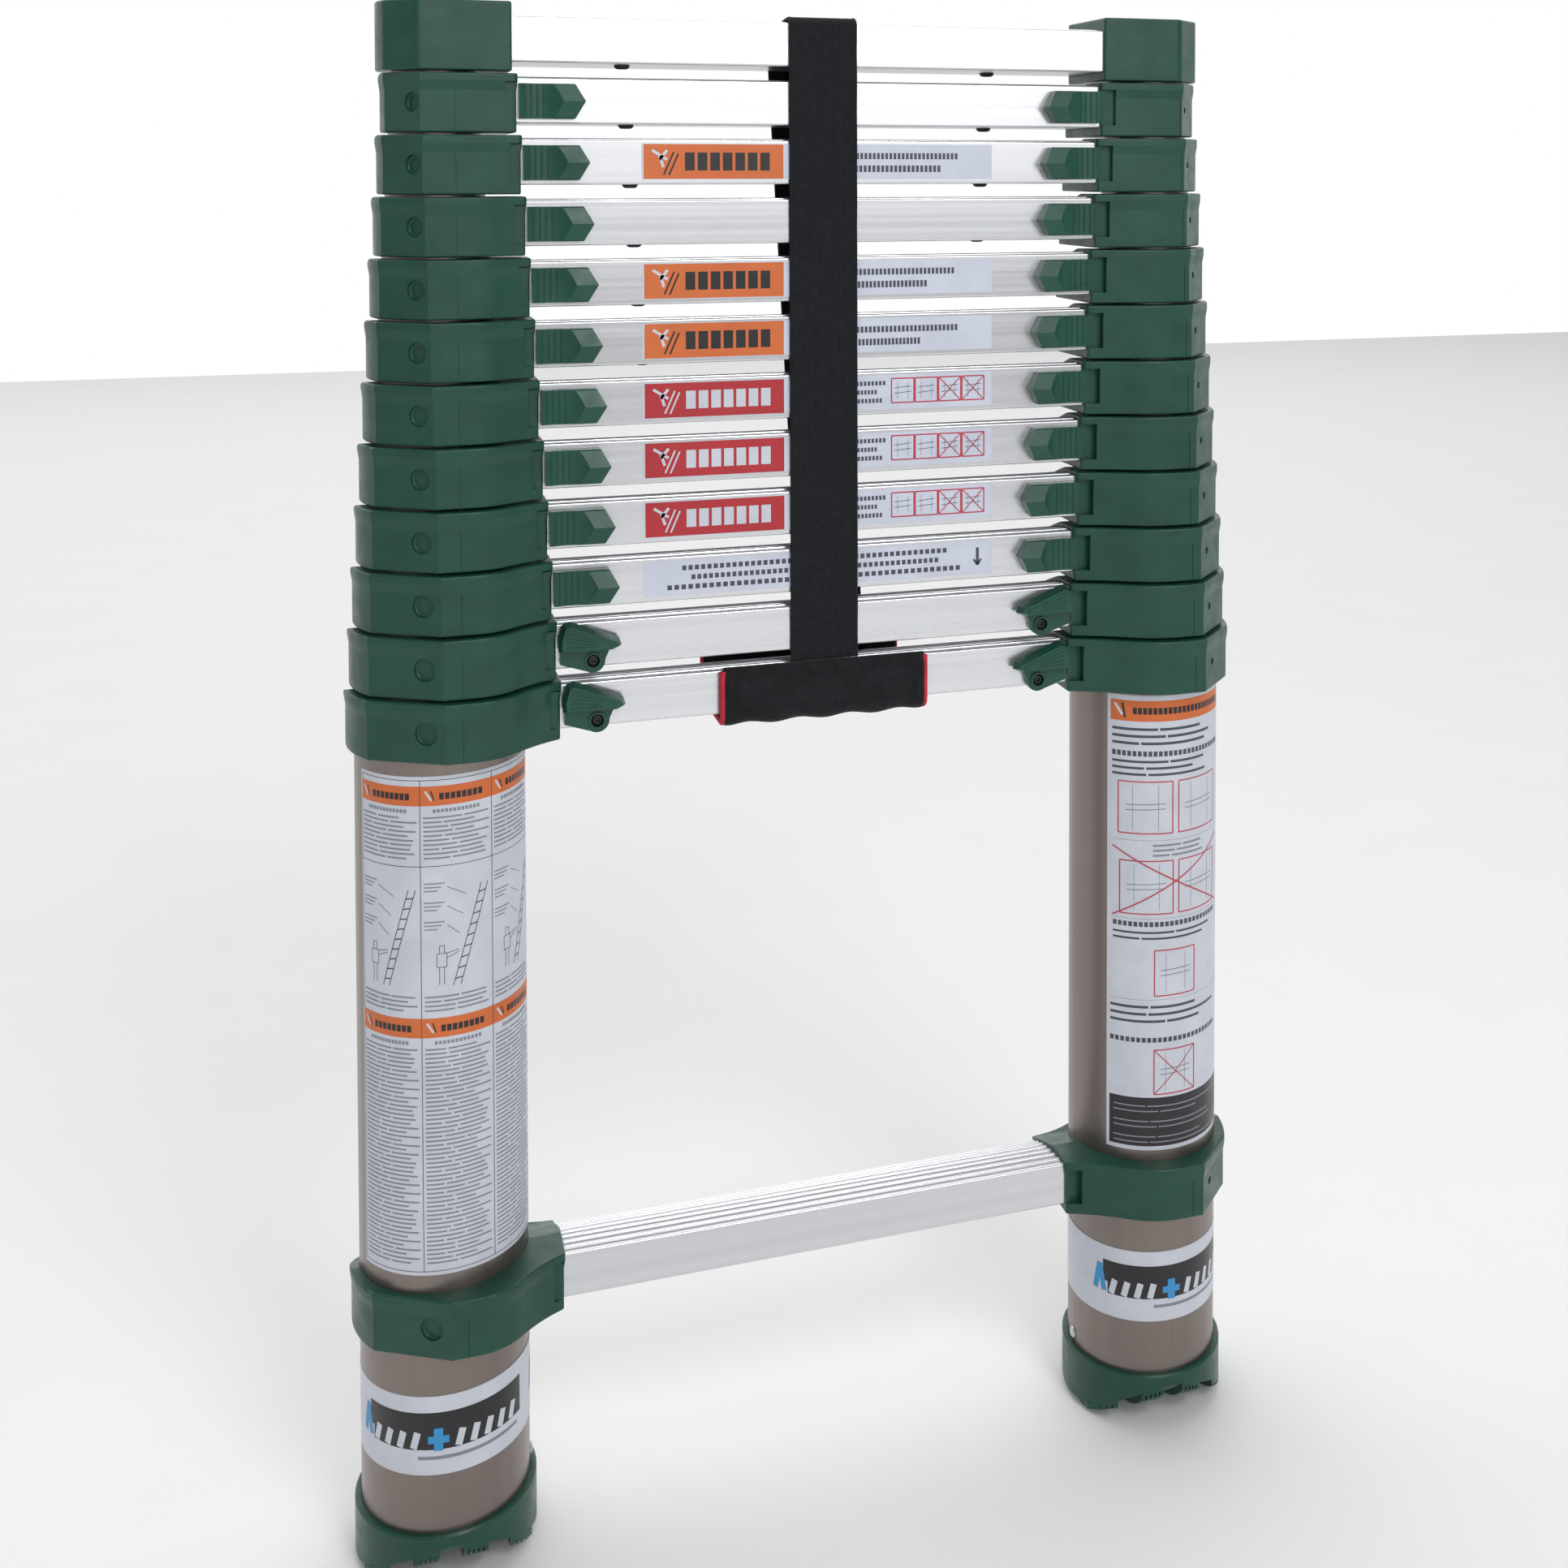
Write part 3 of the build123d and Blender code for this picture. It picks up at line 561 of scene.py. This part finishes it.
def strike_out(bm, place, box, width):
    """Two red diagonals."""
    u0, u1, v0, v1 = box
    stroke(bm, place, (u0, v0), (u1, v1), width, 3, CRIMSON)
    stroke(bm, place, (u0, v1), (u1, v0), width, 3, CRIMSON)


def right_film():
    """Instruction film round the right outer stile, with red picture frames and a black foot."""
    place = Round(STILE_X, TUBE_R)
    bm = bmesh.new()
    low, high = 0.1630, 0.4280
    left, right = -51.5, 62.0    # in degrees round the stile
    inner = (left + 2.6, right - 2.6)
    word, rule = 0.72, 0.2 * MM

    # orange head with its sign, and the notice under it; heights below the top edge
    slab(bm, place, (left, right, low, high), 0, WHITE)
    slab(bm, place, (*inner, *below(high, (0.0150, 0.0030))), 1, ORANGE)
    letters(bm, place, (left + 20, right - 8, *below(high, (0.0108, 0.0070))), 22, 0.78, 2, BLACK)
    stroke(bm, place, (left + 6, high - 0.0050), (left + 12, high - 0.0115), 1.7 * MM, 2, WHITE)
    stroke(bm, place, (left + 12, high - 0.0045), (left + 14, high - 0.0130), 1.2 * MM, 2, BLACK)
    notice, address, contact = (0.0300, 0.0175), (0.0352, 0.0322), (0.0478, 0.0365)
    text_rows(bm, place, (left + 4, right - 22, *below(high, notice)), 4.1 * MM, 0.38, 1, DARK, 0.4)
    letters(bm, place, (left + 4, right - 6, *below(high, address)), 26, word, 1, DARK)
    text_rows(bm, place, (left + 4, right - 30, *below(high, contact)), 3.7 * MM, 0.38, 1, DARK, 1.1)

    # two rows of two frames, the lower row struck out as a whole; heights above the floor
    for start in (9, 56):
        crossed(bm, place, (left + start, left + start + 42, *below(high, (0.0800, 0.0500))), False)
    stroke(bm, place, (left + 3, 0.3440), (right - 3, 0.3440), rule, 1, GREY)
    text_rows(bm, place, (-16, 30, 0.3335, 0.3425), 2.9 * MM, 0.4, 1, GREY, 0.8)
    for ends in ((-41.2, 0.1), (4.9, 46.0)):
        crossed(bm, place, (*ends, 0.3012, 0.3320), False)
    strike_out(bm, place, (-47, 52, 0.2995, 0.3400), 0.8 * MM)
    for level in (0.2985, 0.2511):
        stroke(bm, place, (left + 3, level), (right - 3, level), rule, 1, GREY)

    # two single frames with their headings, and the black foot
    letters(bm, place, (left + 5, 50, 0.2938, 0.2966), 24, word, 1, DARK)
    text_rows(bm, place, (left + 5, 40, 0.2818, 0.2920), 3.4 * MM, 0.36, 1, DARK, 2.0)
    crossed(bm, place, (-14.4, 19.8, 0.2534, 0.2799), False)
    text_rows(bm, place, (left + 3, 46, 0.2360, 0.2490), 4.2 * MM, 0.36, 1, DARK, 3.1)
    letters(bm, place, (left + 3, 50, 0.2262, 0.2290), 24, word, 1, DARK)
    crossed(bm, place, (-14.5, 19.8, 0.1958, 0.2217), True)
    slab(bm, place, (*inner, low + 0.0024, 0.1939), 1, BLACK)
    for pair in (0.1905, 0.1815, 0.1725):
        text_rows(bm, place, (left + 6, right - 14, pair - 0.0062, pair), 3.1 * MM, 0.24, 2, GREY, 90 * pair)
    return film("right_instruction_film", bm, "base")


def foot_band(side):
    """White band above a foot: twice a plain dark panel with white teeth, a blue peak and a blue cross."""
    name = "left_band" if side < 0 else "right_band"
    place = Round(side * STILE_X, TUBE_R)
    bm = bmesh.new()
    low, high = 0.0620, 0.1030
    turn = 0 if side < 0 else 8  # in degrees round the stile, as everything across the band
    panel, cross, teeth = 122, 58, 11
    slab(bm, place, (-180, 180, low, high), 0, WHITE)
    for start in (turn - 66, turn + 80):
        end = start + panel
        slab(bm, place, (start + 4, end, 0.0820, 0.0945), 1, BLACK)
        slab(bm, place, (start + 8, end, 0.0752, 0.0820), 1, BLACK)
        for i in range(teeth):
            u = start + 11 + i * 10
            if abs(u - start - cross) > 9:
                stroke(bm, place, (u, 0.0757), (u + 3, 0.0842), 3.6 * MM, 2, WHITE)
        for half, bottom, top in ((3, 0.0745, 0.0862), (7, 0.0784, 0.0822)):
            slab(bm, place, (start + cross - half, start + cross + half, bottom, top), 3, BLUE)
        for leg in (-3, 5):
            stroke(bm, place, (start + leg, 0.0760), (start + 1, 0.0915), 3.4 * MM, 2, BLUE)
        slab(bm, place, (start + 44, start + 118, 0.0700, 0.0718), 1, GREY)
    return film(name, bm, "base")


def rung_film(k, ink):
    """Strip film on the front of rung k: small print, alone or beside a coloured block."""
    place = Flat(RUNG_FRONT)
    bm = bmesh.new()
    bottom = rung_bottom(k) + 2.7 * MM
    top = rung_bottom(k) + 21.7 * MM
    slab(bm, place, (-0.0985, 0.0975, bottom, top), 0, PALE)
    if ink is None:
        print_rows(bm, place, bottom, top)
    else:
        colour_block(bm, place, bottom, top, ink)
        side_print(bm, place, bottom, top, ink, k)
    return film(f"rung_film_{k}", bm, section(k))


def print_rows(bm, place, bottom, top):
    """Three long rows of blank letters, with an arrow that points down at their end."""
    first, pitch, half_letter, shift = 4.4, 5.1, 1.3 * MM, 0.006
    for i, half in enumerate((0.078, 0.073, 0.086)):
        v = top - (first + pitch * i) * MM
        letters(bm, place, (-half, half - shift, v - half_letter, v + half_letter), 44, 0.66, 1, DARK)
    tip = (0.0891, bottom + 0.0052)
    slab(bm, place, (0.0882, 0.0900, bottom + 0.0060, top - 0.0040), 1, DARK)
    for barb in (0.0868, 0.0914):
        stroke(bm, place, (barb, bottom + 0.0085), tip, 1.2 * MM, 1, DARK)


def colour_block(bm, place, bottom, top, ink):
    """Coloured block with seven blank letters and a sign made of five strokes."""
    letter = BLACK if ink == ORANGE else WHITE
    middle = (bottom + top) / 2
    border, half_letter = 0.0003, 0.0048
    slab(bm, place, (-0.0975, -0.0220, bottom + border, top - border), 1, ink)
    for i in range(7):
        u = -0.0755 + i * 0.0068
        slab(bm, place, (u, u + 0.0052, middle - half_letter, middle + half_letter), 2, letter)
    pale = (((-0.0930, 0.0060), (-0.0850, 0.0010)), ((-0.0890, 0.0030), (-0.0870, -0.0030)),
            ((-0.0850, 0.0060), (-0.0890, 0.0010)))
    slanted = (((-0.0868, -0.0070), (-0.0815, 0.0050)), ((-0.0840, -0.0072), (-0.0790, 0.0042)))
    for strokes, width, layer, colour in ((pale, 1.5, 2, WHITE), (slanted, 0.9, 3, letter)):
        for start, end in strokes:
            stroke(bm, place, (start[0], middle + start[1]), (end[0], middle + end[1]),
                   width * MM, layer, colour)


def side_print(bm, place, bottom, top, ink, k):
    """Small print beside a block: two rows of blank letters, or three short rows and four picture frames."""
    middle = (bottom + top) / 2
    start = -0.0120
    if ink == ORANGE:
        upper = (start, 0.0760 + 0.001 * (k % 3), middle + 0.0014, middle + 0.0048)
        lower = (start, 0.0560 + 0.004 * (k % 4), middle - 0.0056, middle - 0.0020)
        letters(bm, place, upper, 38, 0.66, 1, DARK)
        letters(bm, place, lower, 32, 0.68, 1, DARK)
        return
    row_height = 0.0024
    for row, end in ((0.0038, 0.036), (-0.0010, 0.031), (-0.0058, 0.034)):
        letters(bm, place, (start, end, middle + row, middle + row + row_height), 22, 0.66, 1, DARK)
    frames, pitch, width = 4, 0.0137, 0.0130
    for i in range(frames):
        u = 0.0388 + i * pitch
        crossed(bm, place, (u, u + width, bottom + 0.0034, top - 0.0022), i > 1)


# ---- small hardware ----
def bumpers(k):
    """A rubber button near each end of the underside of rung k, resting on the rung below."""
    bm = bmesh.new()
    height = 2.0 * MM
    inset, off_centre = 0.059, 0.007
    profile = ((0, 0), (2.6 * MM, 0), (3.6 * MM, 0.5 * MM), (4.1 * MM, 1.3 * MM), (4.2 * MM, height))
    for side in (-1, 1):
        centre = (side * (rung_half(k) - inset), side * off_centre, rung_bottom(k) - height)
        turned(bm, profile, centre, (0, 0, 1))
    piece = from_bmesh(f"bumpers_{k}", bm, [RUBBER])
    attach(piece, section(k))
    return piece


def lever_screw(k, side):
    """Socket screw in the pivot boss of a flip lever."""
    name = "left" if side < 0 else "right"
    inset, face, height = 0.019, -0.02790, 4.2 * MM
    pivot = (side * (rung_half(k) - inset), face, rung_bottom(k) + height)
    socket_r, socket_floor = 1.25 * MM, 0.9 * MM
    bm = bmesh.new()
    head = ((socket_r, socket_floor), (socket_r, 1.9 * MM), (1.6 * MM, 2.1 * MM), (2.5 * MM, 1.9 * MM),
            (3.0 * MM, 1.2 * MM), (3.1 * MM, 0))
    turned(bm, head, pivot, (0, -1, 0))
    turned(bm, ((0, socket_floor), (socket_r, socket_floor)), pivot, (0, -1, 0))
    piece = from_bmesh(f"lever_screw_{k}_{name}", bm, [BLACK_STEEL])
    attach(piece, f"lever_{k}_{name}")
    return piece


def rivets():
    """Blind rivets that hold the feet, on the facing sides and the backs of the outer stiles."""
    bm = bmesh.new()
    height = 0.0365
    profile = ((0, 1.5 * MM), (1.2 * MM, 1.5 * MM), (2.6 * MM, 1.1 * MM), (3.3 * MM, 0.4 * MM),
               (3.4 * MM, 0))
    for side in (-1, 1):
        for turn in (-90, 180):
            across = math.sin(math.radians(turn)) * side
            deep = -math.cos(math.radians(turn))
            centre = (side * STILE_X + across * TUBE_R, deep * TUBE_R, height)
            turned(bm, profile, centre, (across, deep, 0))
    piece = from_bmesh("foot_rivets", bm, [STEEL])
    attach(piece, "base")
    return piece


# ---- carry strap ----
def strap_line():
    """Centre line of the strap as (y, z, sideways drift), from the handle over the top to the back."""
    low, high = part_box("carry_strap")
    half_thick = 1.1 * MM
    front = low[1] + half_thick
    back = high[1] - half_thick
    bottom = low[2] + BACK_DROP
    crest = high[2] - half_thick
    drop = 12.3 * MM             # of the top from front to back
    front_bend, back_bend = 4 * MM, 3 * MM
    sway = 0.25 * MM             # in and out, once for each rung
    drift = 18 * MM              # sideways, down the back
    points = []
    steps = 140
    for i in range(steps + 1):
        part = i / steps
        z = bottom + (crest - front_bend - bottom) * part
        wave = sway * math.sin((z - rung_bottom(3)) / STACK_PITCH * 2 * math.pi)
        points.append((front + wave, z, 0.0))
    for turn in (20, 45, 70):
        a = math.radians(turn)
        points.append((front + front_bend * (1 - math.cos(a)),
                       crest - front_bend + front_bend * math.sin(a), 0.0))
    top_start = front + front_bend
    top_end = back - back_bend
    top_steps = 12
    for i in range(top_steps + 1):
        part = i / top_steps
        points.append((top_start + (top_end - top_start) * part, crest - drop * part**2, 0.0))
    for turn in (35, 65):
        a = math.radians(turn)
        points.append((top_end + back_bend * math.sin(a),
                       crest - drop - back_bend * (1 - math.cos(a)), 0.0))
    start = crest - drop - 4 * MM
    for i in range(steps + 1):
        part = i / steps
        points.append((back, start + (low[2] - start) * part, drift * part))
    return points


def carry_strap():
    """Flat woven webbing with thicker selvedges."""
    line = strap_line()
    half = 18.9 * MM
    edge, selvedge, flat = 0.35, 0.85, 0.62      # half thicknesses in millimetres
    across = [-1, -0.965, -0.93, -0.88, -0.5, 0, 0.5, 0.88, 0.93, 0.965, 1]
    swell = [edge, selvedge, selvedge, flat, flat, flat, flat, flat, selvedge, selvedge, edge]
    bm = bmesh.new()
    rings = []
    for i, (y, z, drift) in enumerate(line):
        before = line[max(i - 1, 0)]
        after = line[min(i + 1, len(line) - 1)]
        length = math.hypot(after[0] - before[0], after[1] - before[1])
        normal = Vector((0, -(after[1] - before[1]) / length, (after[0] - before[0]) / length))
        ring = []
        for sign in (1, -1):
            order = range(len(across)) if sign > 0 else range(len(across) - 1, -1, -1)
            for c in order:
                ring.append(bm.verts.new(Vector((across[c] * half + drift, y, z))
                                         + normal * sign * swell[c] * MM))
        rings.append(ring)
    count = len(rings[0])
    for low, high in zip(rings, rings[1:]):
        for s in range(count):
            t = (s + 1) % count
            bm.faces.new((low[s], low[t], high[t], high[s]))
    bm.faces.new(rings[0])
    bm.faces.new(rings[-1])
    strap = from_bmesh("webbing_strap", bm, [WEBBING])
    length = sum(math.dist(a, b) for a, b in zip(line, line[1:]))
    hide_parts("carry_strap")
    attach(strap, "strap")
    return strap


# ---- carry handle ----
PANEL_HALF = 50 * MM         # stitched panel on each face: half its length
PANEL_ROWS = (0.04, 0.19)    # its two long seams, as parts of the way round the sleeve


def handle_section(part, x):
    """Point on the outside of the padded sleeve and its inward normal; part runs 0 to 1 along the U."""
    low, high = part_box("carry_handle")
    front = low[1]
    depth = high[1] - low[1]
    height = high[2] - low[2]
    corner = 7.0 * MM
    waves, wave_depth = 4, 1.6 * MM
    turn = (x - low[0]) / (high[0] - low[0]) * waves * 2 * math.pi
    wave = wave_depth * (0.5 - 0.5 * math.cos(turn))
    bottom = low[2] + wave
    straight = height - corner - wave
    floor = depth - 2 * corner
    arc = corner * math.pi / 2
    total = 2 * straight - BACK_DROP + 2 * arc + floor
    run = part * total
    if run < straight:
        return Vector((x, front, high[2] - run)), Vector((0, 1, 0))
    run -= straight
    if run < arc:
        a = run / corner
        return (Vector((x, front + corner * (1 - math.cos(a)), bottom + corner * (1 - math.sin(a)))),
                Vector((0, math.cos(a), math.sin(a))))
    run -= arc
    if run < floor:
        return Vector((x, front + corner + run, bottom)), Vector((0, 0, 1))
    run -= floor
    if run < arc:
        a = math.pi / 2 - run / corner
        return (Vector((x, high[1] - corner * (1 - math.cos(a)), bottom + corner * (1 - math.sin(a)))),
                Vector((0, -math.cos(a), math.sin(a))))
    run -= arc
    return Vector((x, high[1], bottom + corner + run)), Vector((0, -1, 0))


def seam_depth(part, x, low, high):
    """How far the padding pulls in at its edges and along the stitched panel."""
    end_round, lip_round = 8 * MM, 0.05      # lengths that the edges are rounded over
    edge = min(x - low[0], high[0] - x, end_round) / end_round
    lip = min(part, 1 - part, lip_round) / lip_round
    rounding = 1.1 * MM * (1 - math.sqrt(max(1 - (1 - edge)**2, 0))) + 1.8 * MM * (1 - lip)**2
    side = min(part, 1 - part)
    from_middle = abs(x - (low[0] + high[0]) / 2)
    seam = 0.0
    if 0.035 < side < 0.20:      # across the panel's ends
        seam = max(seam, 1 - abs(from_middle - PANEL_HALF) / (1.6 * MM))
    if from_middle < PANEL_HALF + MM:
        for row in PANEL_ROWS:
            seam = max(seam, 1 - abs(side - row) / 0.011)
    return rounding + 0.9 * MM * max(seam, 0)**0.5


def carry_handle():
    """Padded sleeve with a wavy finger grip below, open along its top."""
    low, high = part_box("carry_handle")
    wall, thinnest = 5.0 * MM, 1.2 * MM
    columns = 113
    rows = 110
    bm = bmesh.new()
    outer, inner = [], []
    for i in range(columns + 1):
        x = low[0] + (high[0] - low[0]) * i / columns
        outer_row, inner_row = [], []
        for j in range(rows + 1):
            part = j / rows
            point, inward = handle_section(part, x)
            depth = seam_depth(part, x, low, high)
            outer_row.append(bm.verts.new(point + inward * depth))
            inner_row.append(bm.verts.new(point + inward * max(wall, depth + thinnest)))
        outer.append(outer_row)
        inner.append(inner_row)
    for i in range(columns):
        for j in range(rows):
            bm.faces.new((outer[i][j], outer[i][j + 1], outer[i + 1][j + 1], outer[i + 1][j]))
            bm.faces.new((inner[i][j], inner[i + 1][j], inner[i + 1][j + 1], inner[i][j + 1]))
    for j in range(rows):
        for i in (0, columns):
            bm.faces.new((outer[i][j], inner[i][j], inner[i][j + 1], outer[i][j + 1]))
    for i in range(columns):
        for j in (0, rows):
            bm.faces.new((outer[i][j], outer[i + 1][j], inner[i + 1][j], inner[i][j]))
    handle = from_bmesh("handle_sleeve", bm, [NEOPRENE])
    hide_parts("carry_handle")
    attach(handle, "base")
    return handle


def handle_piping():
    """Red bound edges round both ends of the sleeve."""
    low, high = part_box("carry_handle")
    outset, inset, radius = 0.3 * MM, 2.3 * MM, 1.6 * MM
    start, length, steps = 0.012, 0.976, 60      # along the U of the sleeve
    bm = bmesh.new()
    for x in (low[0] - outset, high[0] + outset):
        points = []
        for j in range(steps + 1):
            point, inward = handle_section(start + length * j / steps, x)
            points.append(point + inward * inset)
        swept(bm, points, radius, 10)
    piece = from_bmesh("handle_piping", bm, [PIPING])
    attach(piece, "base")
    return piece


def handle_stitching():
    """Stitched panel on the front and back of the sleeve."""
    first, second = PANEL_ROWS
    corners = ((-PANEL_HALF, first), (PANEL_HALF, first), (PANEL_HALF, second), (-PANEL_HALF, second),
               (-PANEL_HALF, first))
    sunk, length, gap, radius = 0.75 * MM, 2.4 * MM, 0.8 * MM, 0.22 * MM
    pieces = []
    for name, mirrored in (("handle_stitches_front", False), ("handle_stitches_back", True)):
        path = []
        for x, row in corners:
            point, inward = handle_section(1 - row if mirrored else row, x)
            path.append(point + inward * sunk)
        outward = (0, 1, 0) if mirrored else (0, -1, 0)
        piece = stitches(name, path, outward, length, gap, radius, THREAD)
        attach(piece, "base")
        pieces.append(piece)
    return pieces


# ---- finish on the CAD nodes ----
def node_material(name):
    """Material of a CAD node, by what it is."""
    if "stiles" in name:
        return TUBE
    if name.startswith("rung") or name == "fixed_rungs":
        return RUNG
    if name.startswith(("button", "lever")):
        return GREEN_LIGHT
    return GREEN


for name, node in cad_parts.items():
    if name.startswith("carry_"):
        continue
    node.data.materials.clear()
    node.data.materials.append(node_material(name))

left_film()
right_film()
for side in (-1, 1):
    foot_band(side)
for k, ink in ((4, None), (5, RED), (6, RED), (7, RED), (8, ORANGE), (9, ORANGE), (11, ORANGE)):
    rung_film(k, ink)
for k in SLIDING:
    bumpers(k)
for k in (2, 3):
    for side in (-1, 1):
        lever_screw(k, side)
rivets()
carry_strap()
carry_handle()
handle_piping()
handle_stitching()


# ---- studio ----
def area_light(name, place, target, size, power):
    """A white rectangular light that looks at a target."""
    lamp = bpy.data.lights.new(name, "AREA")
    lamp.shape = "RECTANGLE"
    lamp.size, lamp.size_y = size
    lamp.energy = power
    light = bpy.data.objects.new(name, lamp)
    light.location = place
    light.rotation_euler = (Vector(target) - Vector(place)).to_track_quat("-Z", "Y").to_euler()
    bpy.context.scene.collection.objects.link(light)


def studio_floor():
    """Plain pale floor."""
    bm = bmesh.new()
    bmesh.ops.create_grid(bm, x_segments=8, y_segments=8, size=6.0)      # half of its side
    pale = material("pale_floor", (0.86, 0.86, 0.86), 0.8)
    spread(pale, noise(pale, 8.0, (1, 1, 1)), 0.75, 0.85, "Roughness")
    tint(pale, noise(pale, 8.0, (1, 1, 1)), (0.85, 0.85, 0.85), (0.865, 0.865, 0.865))
    floor = from_bmesh("floor", bm, [pale])


studio_floor()
area_light("key_light", (0.5, -2.0, 2.3), (0, 0, 0.6), (0.8, 0.6), 17)
area_light("front_light", (0.3, -2.7, 1.5), (0, 0, 0.8), (3.0, 1.5), 27)
area_light("top_light", (0.0, 0.8, 2.8), (0, 0, 0.5), (2.4, 2.0), 12)
area_light("background_light", (0.0, 4.0, 3.0), (0, 4.0, 0), (8.0, 4.0), 60)

# a white studio that is brighter behind the ladder than in front of it
FRONT_LEVEL, BACK_LEVEL = 0.34, 1.0
world = bpy.data.worlds.new("studio")
world.use_nodes = True
sky = world.node_tree
direction = sky.nodes.new("ShaderNodeTexCoord")
parts = sky.nodes.new("ShaderNodeSeparateXYZ")
level = sky.nodes.new("ShaderNodeMapRange")
level.inputs["From Min"].default_value = -0.2
level.inputs["From Max"].default_value = 0.4
level.inputs["To Min"].default_value = FRONT_LEVEL
level.inputs["To Max"].default_value = BACK_LEVEL
sky.links.new(direction.outputs["Generated"], parts.inputs["Vector"])
sky.links.new(parts.outputs["Y"], level.inputs["Value"])
sky.nodes["Background"].inputs["Color"].default_value = (1.0, 1.0, 1.0, 1)
sky.links.new(level.outputs["Result"], sky.nodes["Background"].inputs["Strength"])
bpy.context.scene.world = world
bpy.context.scene.view_settings.view_transform = "Standard"

# the photo's camera, fitted to the outer stiles and the two fixed rungs
lens = bpy.data.cameras.new("camera")
lens.lens = 42.2
lens.sensor_width = 36.0
lens.shift_x = -0.099
lens.shift_y = -0.352
camera = bpy.data.objects.new("camera", lens)
camera.location = (-0.2505, -0.996, 0.729)
camera.rotation_euler = Vector((0.3104, 0.950, -0.0335)).to_track_quat("-Z", "Y").to_euler()
bpy.context.scene.collection.objects.link(camera)
bpy.context.scene.camera = camera
